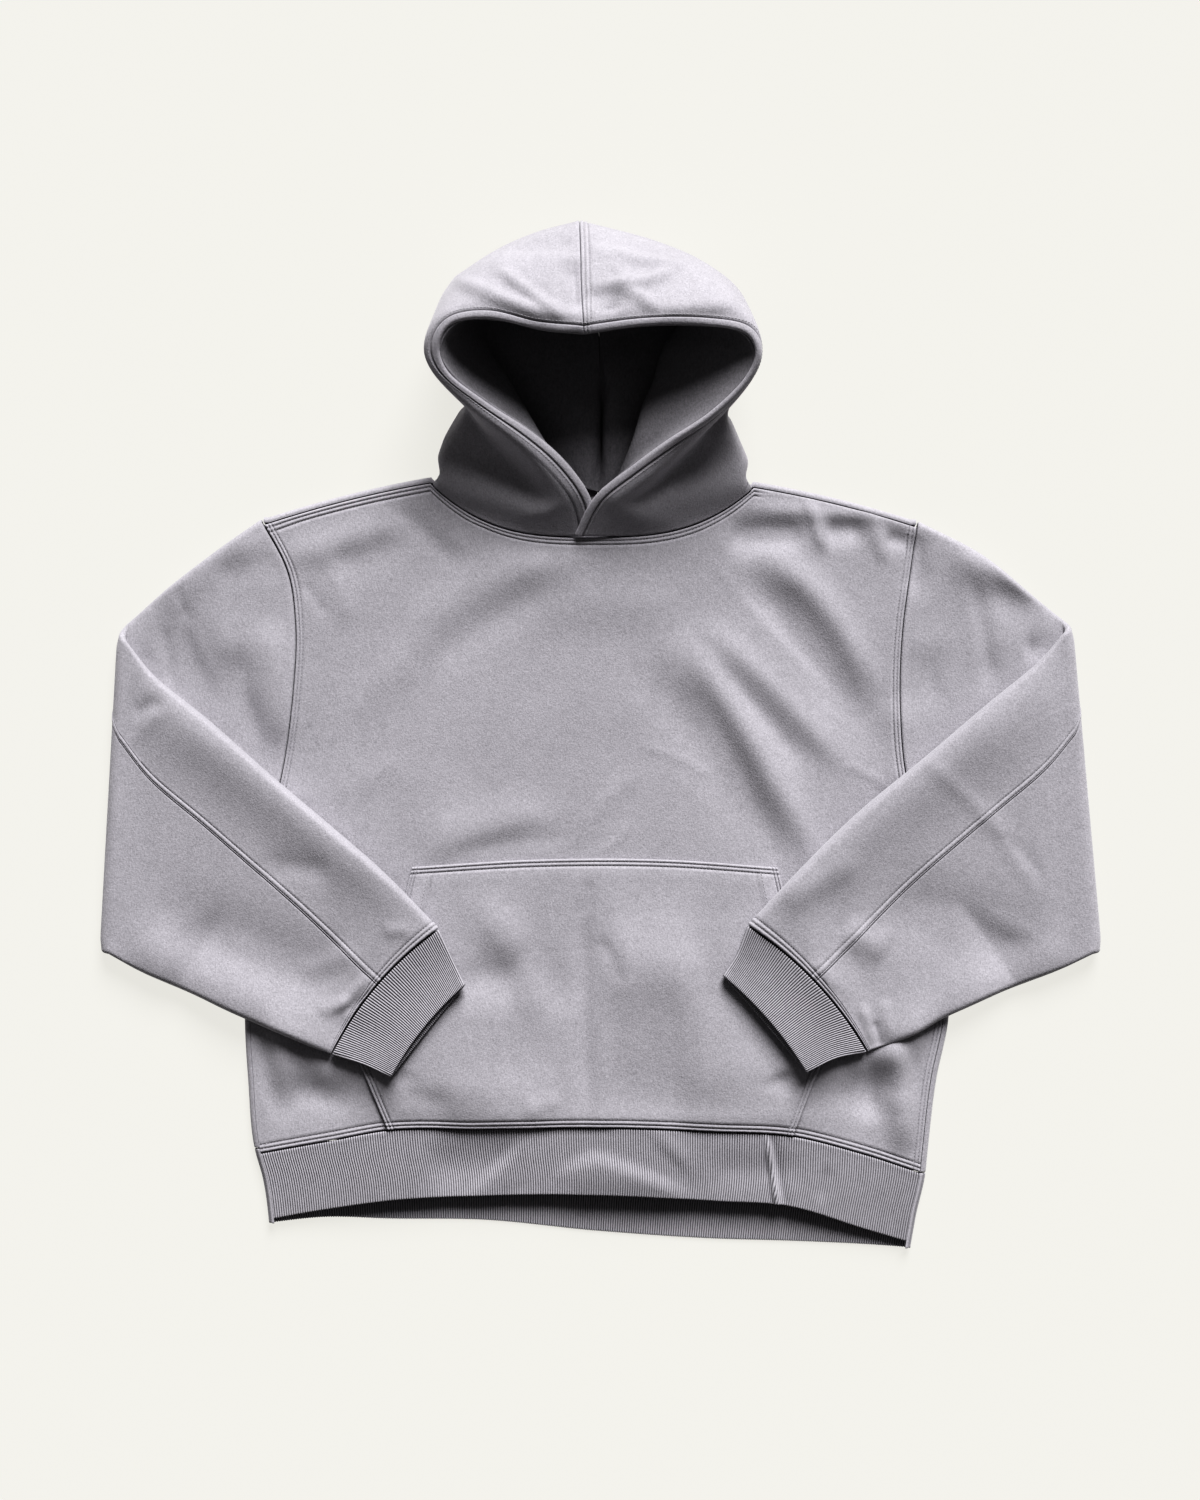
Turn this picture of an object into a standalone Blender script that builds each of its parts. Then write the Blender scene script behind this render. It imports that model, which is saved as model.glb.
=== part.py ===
"""Pullover hoodie in heavy brushed fleece, laid flat on its back.

The sleeves are folded in over the front and the hood stands open. The body is a flattened
tube: the back panel lies on the floor and rolls round the side and shoulder folds, and the
front panel lies over it. Each sleeve is one tube that runs out from the armhole, turns over
at a crease and comes back over the body. The hood has an outer layer and a lining, a left
and a right panel of each, which meet at the seam over the crown.

Every piece is a wall of cloth round a grid of points in its middle. Sizes are in millimetres,
+Y points from the hem to the hood and +Z is up. Left and right are as seen from above, so the
piece that lies on the -X side is the left one.
"""

import bpy
import numpy as np

MM = 0.001

# Cloth and seams
CLOTH = 2.4
FLOOR = CLOTH / 2
SEAM = 0.8
NECK_SEAM = 1.3
SIDE_SEAM = 2.0
ARMHOLE_SEAM = 1.8
LAYER_GAP = 0.6
SLEEVE_GAP = 1.6
ROLL = 3.9
ROLL_TOP = FLOOR + 2 * ROLL
ROLL_STEPS = (0.25, 0.5, 0.75, 1.0)
NEARLY_FLAT = 0.001
SHARP_ANGLE = 50.0

# Ribbed strips
RIB_PITCH = 2.2
RIB_DEPTH = 0.5

# Neck
NECK_MIDDLE = -7.0
NECK_HALF = 145.0
NECK_FRONT_Y = 177.0
NECK_BACK_Y = 210.0
NECK_POINT_Y = {"left": 226.0, "right": 222.0}
NECK_CURVE = 3.0
NECK_TURN = 12.0
NECK_POINT_LIFT = 1.8
NECK_RISE = 9.0
NECK_RISE_SPREAD = (80.0, 45.0)

# Shoulders, from the neck point to the armhole
SHOULDER_END = {"left": (-303.0, 188.0), "right": (285.0, 186.0)}
SHOULDER_BOW = 3.0

# Sides
ARMPIT_Y = -112.0
ARMPIT_TURN = 60.0
BAND_HEIGHT = 69.0

# Grids of the body: shares of the height, steps along a shoulder and round the neck
FRONT_ROWS = (0.0, 0.07, 0.15, 0.23, 0.31, 0.39, 0.47, 0.55, 0.63, 0.71, 0.78, 0.84, 0.89,
              0.93, 0.965, 1.0)
BACK_ROWS = (0.0, 0.13, 0.25, 0.36, 0.45, 0.477, 0.504, 0.531, 0.558, 0.585, 0.68, 0.79, 0.88,
             0.95, 1.0)
SHOULDER_STEPS = 5
FRONT_NECK_STEPS = 10
BACK_NECK_STEPS = 6
TURN_STEPS = {"front": 1, "back": 3}
PLAN_PASSES = 6
BAND_STEPS = {"front": 90, "back": 14}

# Body outline: height on the body, left edge, right edge
BODY_SIDES = (
    (-458.0, -296.0, 279.0),
    (-430.0, -298.0, 284.0),
    (-395.0, -303.5, 292.0),
    (-376.0, -309.0, 294.0),
    (-309.0, -316.0, 302.0),
    (-254.0, -319.0, 313.0),
    (-184.0, -316.0, 310.0),
    (-117.0, -307.0, 299.0),
    (-47.0, -288.0, 276.0),
    (40.0, -275.0, 269.0),
    (100.0, -273.0, 272.0),
    (150.0, -281.0, 279.0),
    (192.0, -303.0, 285.0),
)

# Hem: place across, seam over the front band, front band's lower edge, back band's lower edge
HEM_LINES = (
    (-309.0, -376.0, -437.0, -440.0),
    (-245.0, -364.0, -425.0, -433.5),
    (-191.0, -354.0, -417.0, -435.0),
    (-107.0, -352.5, -412.5, -436.0),
    (-3.0, -351.5, -411.5, -446.0),
    (103.0, -355.0, -417.0, -453.0),
    (171.0, -359.0, -422.0, -455.0),
    (238.0, -376.0, -443.0, -458.0),
    (294.0, -395.0, -460.0, -462.0),
)

# How high the front lies over the floor along its middle, and how it sinks to its edges
MIDDLE_RUN = (4.0, 110.0)
EDGE_FADE = 30.0
CREASE_RUN = 45.0
FRONT_RISE = (
    (-460.0, 17.0),
    (-360.0, 15.0),
    (-250.0, 13.5),
    (-100.0, 12.5),
    (100.0, 12.0),
    (170.0, 10.5),
    (230.0, ROLL_TOP),
)

# Folds in the upper layer: start, end, bend to the side, height, half width. Each fades in and
# out over a share of its length, from a little before its start.
FOLD_LEAD = 0.1
FOLD_FADE = 0.35
FRONT_FOLDS = (
    ("chest right ridge", (62, 86), (178, -90), 10.0, 4.2, 20.0),
    ("chest right trough", (36, 62), (150, -112), 8.0, -2.8, 20.0),
    ("side right trough", (140, 140), (254, -30), 14.0, -3.0, 20.0),
    ("side right ridge", (150, 80), (250, -60), 8.0, 3.0, 20.0),
    ("under neck ridge", (-27, 160), (-170, 92), -12.0, 3.0, 20.0),
    ("under neck trough", (-27, 130), (-160, 58), -12.0, -2.4, 20.0),
    ("chest left ridge", (-165, -96), (-50, -66), 0.0, 3.0, 20.0),
    ("shoulder left trough", (-150, 205), (-250, 150), 10.0, -2.2, 20.0),
    ("hem left trough", (-250, -330), (-215, -250), 0.0, -3.0, 22.0),
    ("hem right trough", (225, -340), (262, -262), 0.0, -3.0, 22.0),
    ("pocket left trough", (-90, -195), (-30, -250), 4.0, -3.2, 26.0),
    ("pocket right trough", (60, -170), (150, -300), 12.0, -3.0, 26.0),
    ("sleeve left pinch", (-378, 108), (-322, -6), -8.0, -2.4, 18.0),
    ("sleeve left ridge", (-350, 130), (-305, 20), -8.0, 2.4, 18.0),
    ("sleeve right ridge", (326, 155), (350, 60), 5.0, 3.0, 18.0),
    ("sleeve right trough", (345, 130), (396, 110), 0.0, -2.4, 18.0),
)

# Pocket: height on the body, left edge, right edge
POCKET_EDGES = (
    (-352.0, -190.0, 173.0),
    (-310.0, -207.0, 189.0),
    (-250.0, -226.0, 208.0),
    (-184.0, -188.0, 177.0),
    (-117.0, -168.0, 159.0),
)
POCKET_TOP = ((-168.0, -118.0), (-60.0, -111.5), (60.0, -111.5), (159.0, -118.5))
POCKET_LIFT = CLOTH + 3 * LAYER_GAP
POCKET_STEP = (6.0, 40.0)
POCKET_COLUMNS = 17
POCKET_ROWS = 8

# Sleeves: upper fold edge and lower fold edge at each station, share of the armhole's bow
UPPER_ARM = {
    "left": (
        ((-303.0, 194.0), (-307.0, -112.0), 1.0),
        ((-345.0, 167.0), (-352.0, -134.0), 0.45),
        ((-388.0, 133.0), (-400.0, -164.0), 0.12),
        ((-424.5, 92.0), (-439.5, -194.0), 0.0),
    ),
    "right": (
        ((285.0, 192.0), (299.0, -114.0), 1.0),
        ((339.0, 164.0), (352.0, -138.0), 0.45),
        ((380.0, 136.0), (400.0, -166.0), 0.12),
        ((416.0, 96.0), (441.0, -194.0), 0.0),
    ),
}
FOREARM = {
    "left": (
        ((-424.5, 84.0), (-439.5, -196.0)),
        ((-398.0, 52.0), (-403.0, -216.0)),
        ((-350.0, 13.0), (-357.0, -236.0)),
        ((-292.0, -38.0), (-312.0, -256.0)),
        ((-236.0, -85.0), (-280.0, -269.0)),
        ((-190.0, -125.0), (-258.0, -278.0)),
        ((-144.0, -172.0), (-240.0, -284.0)),
    ),
    "right": (
        ((416.0, 92.0), (441.0, -196.0)),
        ((392.0, 65.0), (403.0, -214.0)),
        ((347.0, 28.0), (357.0, -232.0)),
        ((288.0, -22.0), (312.0, -251.0)),
        ((233.0, -67.0), (282.0, -267.0)),
        ((182.0, -116.0), (258.0, -276.0)),
        ((132.0, -169.0), (239.0, -282.0)),
    ),
}
CUFF = {
    "left": (
        ((-143.3, -173.0), (-239.0, -285.0)),
        ((-131.0, -199.0), (-210.0, -294.0)),
        ((-120.0, -222.0), (-186.0, -304.0)),
    ),
    "right": (
        ((131.3, -170.0), (238.0, -283.0)),
        ((122.0, -194.0), (211.0, -288.0)),
        ((109.5, -214.0), (184.0, -300.0)),
    ),
}
CREASE_LOFT = 5.0
CREASE_RADIUS = 5.5
SLEEVE_LOFTS = (5.0, 6.4, 7.6, 8.4, 8.4, 7.6, 6.6)
SLEEVE_TURN = 1.2
CUFF_LOFT = 6.2
CUFF_BOW = 9.0
CUFF_BOW_START = 3.0
DRAPE = (10.0, 42.0)

# Rings of a sleeve, and where a ring has its points: near the fold edges and in between
UPPER_ARM_RINGS = 6
CREASE_RINGS = 6
FOREARM_RINGS = 10
ROLL_OFFSETS = (0.0, 0.5, 1.8, 4.0)
LAYER_PLACES = (14.0, 34.0, 70.0)
LAYER_MIDDLE = (0.38, 0.62)

# Cuff ring: ribs crowd a little towards the fold edges, and the plain inside more so
CUFF_STEPS = 30
RIB_CROWDING = 0.2
PLAIN_CROWDING = 0.8

# Hood sections from the neck to the crown. Each gives the outer layer at the open edge, the
# turned edge band, the hollow under it, the side and the foot on the floor.
OUTER_HOOD = {
    "left": (
        ((-3, 178, 19), (-36, 178, 19), (-85, 182, 19), (-152, 232, 9), (-136, 241, 1.2)),
        ((-12, 211, 40), (-29, 203, 38), (-62, 199, 30), (-142, 236, 20), (-123, 250, 1.2)),
        ((-34, 240, 57), (-48, 229, 54), (-71, 230, 32), (-134, 257, 27), (-117, 273, 1.2)),
        ((-63, 264, 70), (-74, 256, 68), (-96, 261, 42), (-124, 278, 36), (-110, 292, 1.2)),
        ((-101, 288, 82), (-117, 288, 80), (-115, 288, 52), (-119, 295, 38), (-101, 305, 1.2)),
        ((-134, 313, 95), (-145, 316, 92), (-135, 317, 60), (-130, 320, 36), (-108, 328, 1.2)),
        ((-142, 337, 105), (-151, 340, 98), (-144, 348, 64), (-137, 354, 36), (-117, 357, 1.2)),
        ((-128, 357, 111), (-136, 365, 104), (-137, 384, 72), (-131, 395, 40), (-113, 400, 1.2)),
        ((-95, 361, 114), (-98, 378, 108), (-104, 407, 80), (-100, 423, 42), (-86, 427, 1.2)),
        ((-53, 352, 113), (-57, 372, 110), (-63, 417, 82), (-61, 441, 46), (-50, 443, 1.2)),
    ),
    "right": (
        ((-20, 177, 22.5), (4, 177, 22.5), (54, 180, 20), (138, 226, 9), (122, 237, 1.2)),
        ((-2, 209, 44), (11, 201, 42), (44, 202, 32), (129, 233, 20), (112, 249, 1.2)),
        ((29, 233, 60), (40, 223, 54), (64, 232, 34), (123, 252, 27), (104, 269, 1.2)),
        ((63, 256, 72), (74, 252, 62), (89, 261, 42), (117, 269, 34), (99, 291, 1.2)),
        ((98, 278, 82), (107, 281, 70), (104, 285, 50), (112, 286, 38), (92, 301, 1.2)),
        ((128, 306, 94), (132, 311, 82), (127, 314, 60), (122, 318, 36), (99, 327, 1.2)),
        ((138, 330, 104), (139, 335, 94), (132, 343, 64), (126, 350, 36), (104, 353, 1.2)),
        ((126, 349, 110), (130, 360, 103), (126, 380, 72), (122, 389, 40), (103, 395, 1.2)),
        ((89, 355, 114), (98, 375, 108), (98, 400, 80), (94, 416, 42), (81, 420, 1.2)),
        ((39, 355, 114), (48, 374, 110), (54, 410, 82), (49, 435, 46), (36, 438, 1.2)),
    ),
}
OUTER_CROWN = ((-14, 348, 112), (-15, 371, 110), (-17, 423, 76), (-18, 453, 44), (-17, 451, 1.2))
OUTER_BACK = ((-3, 211), (-1, 229), (1, 255), (1, 280), (1, 303), (1, 328), (0, 353), (-3, 375),
              (-5, 389), (-6, 397), (-7, 402))

# The lining in the same sections: open edge (set from the outer one), facing, inward fold,
# the hollow under it and the roll beside the back seam.
LINING_HOOD = {
    "left": (
        ((-14, 204, 26), (-23, 214, 16), (-36, 225, 7), (-13, 221, 9)),
        ((-35, 234, 48), (-39, 239, 30), (-63, 247, 7), (-13, 241, 14)),
        ((-56, 259, 58), (-51, 260, 40), (-88, 268, 7), (-12, 264, 17)),
        ((-88, 283, 66), (-67, 290, 38), (-90, 295, 8), (-11, 289, 17)),
        ((-117, 306, 76), (-85, 318, 36), (-95, 326, 8), (-14, 311, 10)),
        ((-131, 329, 86), (-103, 345, 34), (-104, 348, 9), (-22, 340, 6)),
        ((-125, 359, 88), (-112, 371, 42), (-100, 380, 9), (-31, 364, 4.8)),
        ((-95, 377, 94), (-97, 402, 56), (-78, 410, 9), (-31, 387, 4.8)),
        ((-55, 373, 98), (-60, 416, 66), (-46, 428, 9), (-23, 405, 4.8)),
    ),
    "right": (
        ((5, 200, 26), (11, 215, 16), (32, 225, 7), (9, 221, 9)),
        ((26, 236, 46), (22, 239, 30), (57, 247, 7), (11, 241, 14)),
        ((50, 259, 56), (30, 261, 40), (80, 268, 7), (11, 264, 18)),
        ((78, 284, 66), (37, 288, 38), (80, 294, 8), (13, 290, 20)),
        ((105, 312, 76), (48, 313, 36), (85, 324, 8), (16, 314, 16)),
        ((122, 335, 86), (57, 342, 34), (90, 348, 9), (14, 338, 10)),
        ((118, 356, 88), (73, 366, 42), (88, 378, 9), (23, 360, 4.8)),
        ((90, 372, 94), (81, 397, 56), (70, 404, 9), (20, 384, 4.8)),
        ((43, 371, 98), (44, 411, 66), (32, 420, 9), (5, 403, 4.8)),
    ),
}
LINING_SHARES = (0.12, 0.2, 0.3, 0.4, 0.5, 0.6, 0.72, 0.82, 0.91, 1.0)
LINING_CROWN = ((-15, 371, 101), (-17, 420, 66), (-17, 434, 9), (-10, 414, 4.8))
LINING_BACK = ((-2, 218), (0, 238), (2, 261), (2, 287), (2, 310), (0, 337), (-1, 360), (-4, 380),
               (-5, 393), (-6, 400))
LINING_FLOOR = 4.8
RIM_STEP = 3.4
HOLLOW_ROUND = (10.0, 8.0)

# Grid of a hood panel: shares from the open edge to the back seam, with one at the neck point
HOOD_ROWS = 16
HOOD_TURN = 0.6
HOOD_COLUMNS = (0.0, 0.08, 0.16, 0.24, 0.32, 0.4, 0.48, 0.55, HOOD_TURN, 0.633, 0.7, 0.8, 0.9,
                1.0)
LINING_COLUMNS = 13
NECK_EDGE_FADE = 0.14
SWAPPED = {"first row": "last row", "last row": "first row"}

# The whole garment is moved so that its box stands centred on the origin
CENTRE = (0.7, -1.3)

COLOURS = {
    "fleece": ((0.36, 0.35, 0.37, 1.0), 0.92),
    "lining": ((0.30, 0.29, 0.31, 1.0), 0.94),
    "rib": ((0.37, 0.36, 0.38, 1.0), 0.9),
}

X_AXIS, Y_AXIS, _ = np.eye(3)
EDGES = {
    "first row": np.s_[0, :],
    "last row": np.s_[-1, :],
    "first column": np.s_[:, 0],
    "last column": np.s_[:, -1],
}
PANEL_SEAMS = (
    ("first row", Y_AXIS),
    ("last row", Y_AXIS),
    ("first column", X_AXIS),
    ("last column", X_AXIS),
)


# ---- curves -------------------------------------------------------------------------------


def spline(knots, values, at):
    """Smooth line through values at the rising knots, read at each place in at."""
    knots, values = np.asarray(knots, float), np.asarray(values, float)
    at = np.clip(np.asarray(at, float), knots[0], knots[-1])
    slopes = np.gradient(values, knots, axis=0)
    low = np.clip(np.searchsorted(knots, at, side="right") - 1, 0, len(knots) - 2)
    step = knots[low + 1] - knots[low]
    t = (at - knots[low]) / step
    grow = (...,) + (None,) * (values.ndim - 1)
    t, step = t[grow], step[grow]
    start = (1 + 2 * t) * (1 - t) ** 2 * values[low] + t * (1 - t) ** 2 * step * slopes[low]
    end = t * t * (3 - 2 * t) * values[low + 1] - t * t * (1 - t) * step * slopes[low + 1]
    return start + end


def column(table, index):
    return [row[index] for row in table]


def smoothstep(value):
    value = np.clip(value, 0.0, 1.0)
    return value * value * (3 - 2 * value)


def body_edge(side, y):
    """Outline of the body, where its side and armhole lie at height y."""
    return spline(column(BODY_SIDES, 0), column(BODY_SIDES, 1 if side == "left" else 2), y)


def hem_line(kind, x):
    index = {"seam": 1, "front": 2, "back": 3}[kind]
    return spline(column(HEM_LINES, 0), column(HEM_LINES, index), x)


def neck_share(x):
    return np.clip(np.abs((x - NECK_MIDDLE) / NECK_HALF), 0.0, 1.0) ** NECK_CURVE


def neck_point_y(x):
    return np.where(x < NECK_MIDDLE, NECK_POINT_Y["left"], NECK_POINT_Y["right"])


def front_top(x):
    """Upper edge of the front panel: shoulder seams and front neckline."""
    top = NECK_FRONT_Y + (neck_point_y(x) - NECK_FRONT_Y) * neck_share(x)
    for side, sign in (("left", -1), ("right", 1)):
        neck_x = NECK_MIDDLE + sign * NECK_HALF
        end_x, end_y = SHOULDER_END[side]
        share = (x - neck_x) / (end_x - neck_x)
        bow = SHOULDER_BOW * 4 * share * (1 - share)
        line = NECK_POINT_Y[side] + (end_y - NECK_POINT_Y[side]) * share + bow
        top = np.where(share > 0, line, top)
    return top


def back_neck(x):
    return NECK_BACK_Y + (neck_point_y(x) - NECK_BACK_Y) * neck_share(x)


# ---- heights ------------------------------------------------------------------------------


def fold_height(x, y, folds):
    """Sum of the soft ridges and troughs of a table of folds."""
    total = np.zeros(np.broadcast(x, y).shape)
    for _, start, end, bend, height, width in folds:
        start, end = np.array(start, float), np.array(end, float)
        along = end - start
        length = np.hypot(*along)
        along /= length
        side = np.array((-along[1], along[0]))
        share = ((x - start[0]) * along[0] + (y - start[1]) * along[1]) / length
        off = (x - start[0]) * side[0] + (y - start[1]) * side[1]
        off = off - bend * 4 * share * (1 - share)
        left = np.minimum(share, 1 - share) + FOLD_LEAD
        ends = smoothstep(left / FOLD_FADE)
        total += height * ends * np.exp(-((off / width) ** 2))
    return total


def crease_line(side, y):
    """Where the sleeve's crease lies at height y: the axis it turns over."""
    top, bottom, _ = UPPER_ARM[side][-1]
    share = np.clip((y - bottom[1]) / (top[1] - bottom[1]), 0.0, 1.0)
    return bottom[0] + (top[0] - bottom[0]) * share


def upper_height(x, y):
    """Middle of the upper layer of the body and of the upper arms, over the floor."""
    rise = spline(column(FRONT_RISE, 0), column(FRONT_RISE, 1), y)
    inside = np.minimum(x - body_edge("left", y), body_edge("right", y) - x)
    height = ROLL_TOP + (rise - ROLL_TOP) * smoothstep((inside - MIDDLE_RUN[0]) / MIDDLE_RUN[1])
    neck_x = (x - NECK_MIDDLE) / NECK_RISE_SPREAD[0]
    neck_y = (y - NECK_FRONT_Y) / NECK_RISE_SPREAD[1]
    height = height + NECK_RISE * np.exp(-(neck_x**2) - neck_y**2)
    from_ends = np.minimum(front_top(x) - y, y - hem_line("seam", x))
    edges = smoothstep(from_ends / EDGE_FADE)
    by_side = smoothstep((inside - MIDDLE_RUN[0]) / EDGE_FADE)
    sides = np.where(y < ARMPIT_Y + ARMPIT_TURN, by_side, 1.0)
    height = height + fold_height(x, y, FRONT_FOLDS) * edges * sides
    to_crease = np.minimum(x - crease_line("left", y), crease_line("right", y) - x)
    low = FLOOR + CREASE_LOFT
    return low + (height - low) * smoothstep(to_crease / CREASE_RUN)


def pocket_rise(x, y):
    """What the pocket adds to the front's height, fading outside its edges."""
    left = spline(column(POCKET_EDGES, 0), column(POCKET_EDGES, 1), y)
    right = spline(column(POCKET_EDGES, 0), column(POCKET_EDGES, 2), y)
    outside = np.maximum(np.maximum(left - x, x - right), y - POCKET_TOP[1][1])
    return POCKET_LIFT * (1 - smoothstep((outside - POCKET_STEP[0]) / POCKET_STEP[1]))


def forearm_floor(side, x, y):
    """Middle of the forearm's lower layer: it lies on the arm, the front and the pocket, and
    sinks to the floor past their edges."""
    sign = -1 if side == "left" else 1
    outside_body = (x - body_edge(side, y)) * sign
    armpit, elbow = (np.array(UPPER_ARM[side][k][1]) for k in (0, -1))
    along = (elbow - armpit) / np.hypot(*(elbow - armpit))
    below_arm = ((x - armpit[0]) * along[1] - (y - armpit[1]) * along[0]) * sign
    outside = np.minimum(outside_body, below_arm)
    cover = upper_height(x, y) + pocket_rise(x, y) + CLOTH + SLEEVE_GAP
    return FLOOR + (cover - FLOOR) * (1 - smoothstep((outside - DRAPE[0]) / DRAPE[1]))


# ---- walls --------------------------------------------------------------------------------


def unit(vectors):
    return vectors / np.linalg.norm(vectors, axis=-1, keepdims=True)


def mean_directions(points):
    """Directions along the columns of a grid, each the mean of those on its two sides."""
    steps = unit(np.diff(points, axis=1))
    return np.hstack((steps[:, :1], steps)) + np.hstack((steps, steps[:, -1:]))


def grid_normals(points, ring):
    """Outward directions of a grid, whose columns close into a ring where ring is true."""
    if ring:
        across = unit(np.roll(points, -1, axis=1) - points)
        across = across + np.roll(across, 1, axis=1)
    else:
        across = mean_directions(points)
    along = np.swapaxes(mean_directions(np.swapaxes(points, 0, 1)), 0, 1)
    return unit(np.cross(across, along))


def square_edges(normals, seams):
    """Turns the directions along each seamed edge so that the wall ends square to its axis."""
    for edge, axis in seams:
        place = EDGES[edge]
        axis = np.asarray(axis, float) / np.linalg.norm(axis)
        kept = normals[place] - (normals[place] @ axis)[:, None] * axis
        normals[place] = unit(kept)
    return normals


def length_shares(line):
    """How far along a line of points each one lies, from 0 to 1."""
    steps = np.linalg.norm(np.diff(line, axis=0), axis=1)
    return np.concatenate(((0.0,), np.cumsum(steps))) / steps.sum()


def zip_lines(outer, inner, outer_at, inner_at):
    """Triangles between two lines of point numbers that run side by side, from how far along
    its line each point lies."""
    faces = []
    i = j = 0
    while i < len(outer) - 1 or j < len(inner) - 1:
        outer_next = outer_at[i : i + 2].mean() if i < len(outer) - 1 else 2.0
        inner_next = inner_at[j : j + 2].mean() if j < len(inner) - 1 else 2.0
        if outer_next <= inner_next:
            faces.append((outer[i + 1], outer[i], inner[j]))
            i += 1
        else:
            faces.append((outer[i], inner[j], inner[j + 1]))
            j += 1
    return np.array(faces)


def quads_of(indices, ring):
    """Quads of a grid of point numbers, anticlockwise seen from outside."""
    if ring:
        indices = np.hstack((indices, indices[:, :1]))
    corners = (indices[:-1, :-1], indices[:-1, 1:], indices[1:, 1:], indices[1:, :-1])
    return np.stack(corners, -1).reshape(-1, 4)


def first_is_shorter(quads, points):
    """Whether the diagonal from a quad's first corner is the shorter one."""
    first = np.linalg.norm(points[quads[:, 0]] - points[quads[:, 2]], axis=1)
    second = np.linalg.norm(points[quads[:, 1]] - points[quads[:, 3]], axis=1)
    return (first <= second)[:, None]


def halves(quads, by_first):
    """Two triangles of each quad, split along its first or its second diagonal."""
    one = np.where(by_first, quads[:, (0, 1, 2)], quads[:, (0, 1, 3)])
    two = np.where(by_first, quads[:, (0, 2, 3)], quads[:, (1, 2, 3)])
    return np.vstack((one, two))


def border(indices, ring):
    """The edge lines of a grid in the direction in which its faces run round it."""
    if ring:
        closed = np.hstack((indices, indices[:, :1]))
        return [closed[0], closed[-1][::-1]]
    return [indices[0], indices[:, -1], indices[-1][::-1], indices[:, 0][::-1]]


def add_shell(name, finish, outer, inner, middles, ring=False):
    """Adds a closed solid between an outer and an inner grid of points, each moved out from its
    grid in middles. Grids of one size are split along the same diagonals, so that the wall
    stays even where it twists."""
    count = outer.shape[0] * outer.shape[1]
    outer_ids = np.arange(count).reshape(outer.shape[:2])
    inner_ids = count + np.arange(inner.shape[0] * inner.shape[1]).reshape(inner.shape[:2])
    points = np.vstack((outer.reshape(-1, 3), inner.reshape(-1, 3)))
    outer_quads, inner_quads = quads_of(outer_ids, ring), quads_of(inner_ids, ring)
    outer_split = first_is_shorter(outer_quads, points)
    if outer.shape == inner.shape:
        inner_split = outer_split
    else:
        inner_split = first_is_shorter(inner_quads, points)
    faces = [halves(outer_quads, outer_split), halves(inner_quads, inner_split)[:, ::-1]]
    middle = np.vstack([grid.reshape(-1, 3) for grid in middles])
    for outer_line, inner_line in zip(border(outer_ids, ring), border(inner_ids, ring)):
        places = (length_shares(middle[line]) for line in (outer_line, inner_line))
        faces.append(zip_lines(outer_line, inner_line, *places))
    points = (points - np.array((*CENTRE, 0.0))) * MM
    mesh = bpy.data.meshes.new(name)
    mesh.from_pydata(points.tolist(), [], np.vstack(faces).tolist())
    mesh.shade_smooth()
    mesh.set_sharp_from_angle(angle=np.radians(SHARP_ANGLE))
    mesh.materials.append(finish_material(name, finish))
    obj = bpy.data.objects.new(name, mesh)
    bpy.context.scene.collection.objects.link(obj)


def add_wall(name, finish, middle, seams=(), ring=False):
    """Adds a wall of cloth of even thickness round a grid of points in its middle."""
    normals = square_edges(grid_normals(middle, ring), seams)
    half = normals * CLOTH / 2
    add_shell(name, finish, middle + half, middle - half, (middle, middle), ring)


def finish_material(name, finish):
    colour, roughness = COLOURS[finish]
    material = bpy.data.materials.new(f"{name}_{finish}")
    material.use_nodes = True
    shader = material.node_tree.nodes["Principled BSDF"]
    shader.inputs["Base Color"].default_value = colour
    shader.inputs["Roughness"].default_value = roughness
    shader.inputs["Metallic"].default_value = 0.0
    return material


# ---- body ---------------------------------------------------------------------------------


def shares_across(neck_steps, turn_steps, inset):
    """Column places from the left armhole to the right one, with one on each neck point and
    some in the short turn beside it."""
    start = SHOULDER_END["left"][0] + inset
    span = SHOULDER_END["right"][0] - inset - start
    left = (NECK_MIDDLE - NECK_HALF - start) / span
    right = (NECK_MIDDLE + NECK_HALF - start) / span
    turn = NECK_TURN / span
    near = turn * np.arange(1, turn_steps) / turn_steps
    return np.concatenate((
        np.linspace(0.0, left, SHOULDER_STEPS + 1),
        left + near,
        np.linspace(left + turn, right - turn, neck_steps + 1),
        (right - near)[::-1],
        np.linspace(right, 1.0, SHOULDER_STEPS + 1),
    ))


def armhole_share(y):
    """0 beside the side seam and 1 along the armhole, turning over just above the armpit."""
    return np.clip((y - ARMPIT_Y) / ARMPIT_TURN, 0.0, 1.0)


def panel_plan(across, rows, low_line, high_line, inset):
    """Plan of a body panel: its points run from a low to a high line and from edge to edge."""
    up = np.array(rows)[:, None]
    bottom_x = np.interp(across, (0, 1), (HEM_LINES[0][0], HEM_LINES[-1][0]))
    top_x = np.interp(across, (0, 1), (SHOULDER_END["left"][0], SHOULDER_END["right"][0]))
    for _ in range(PLAN_PASSES):
        y = low_line(bottom_x) + (high_line(top_x) - low_line(bottom_x)) * up
        left = body_edge("left", y) + inset(y)
        right = body_edge("right", y) - inset(y)
        x = left + (right - left) * across
        bottom_x, top_x = x[0], x[-1]
    return x, y


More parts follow.
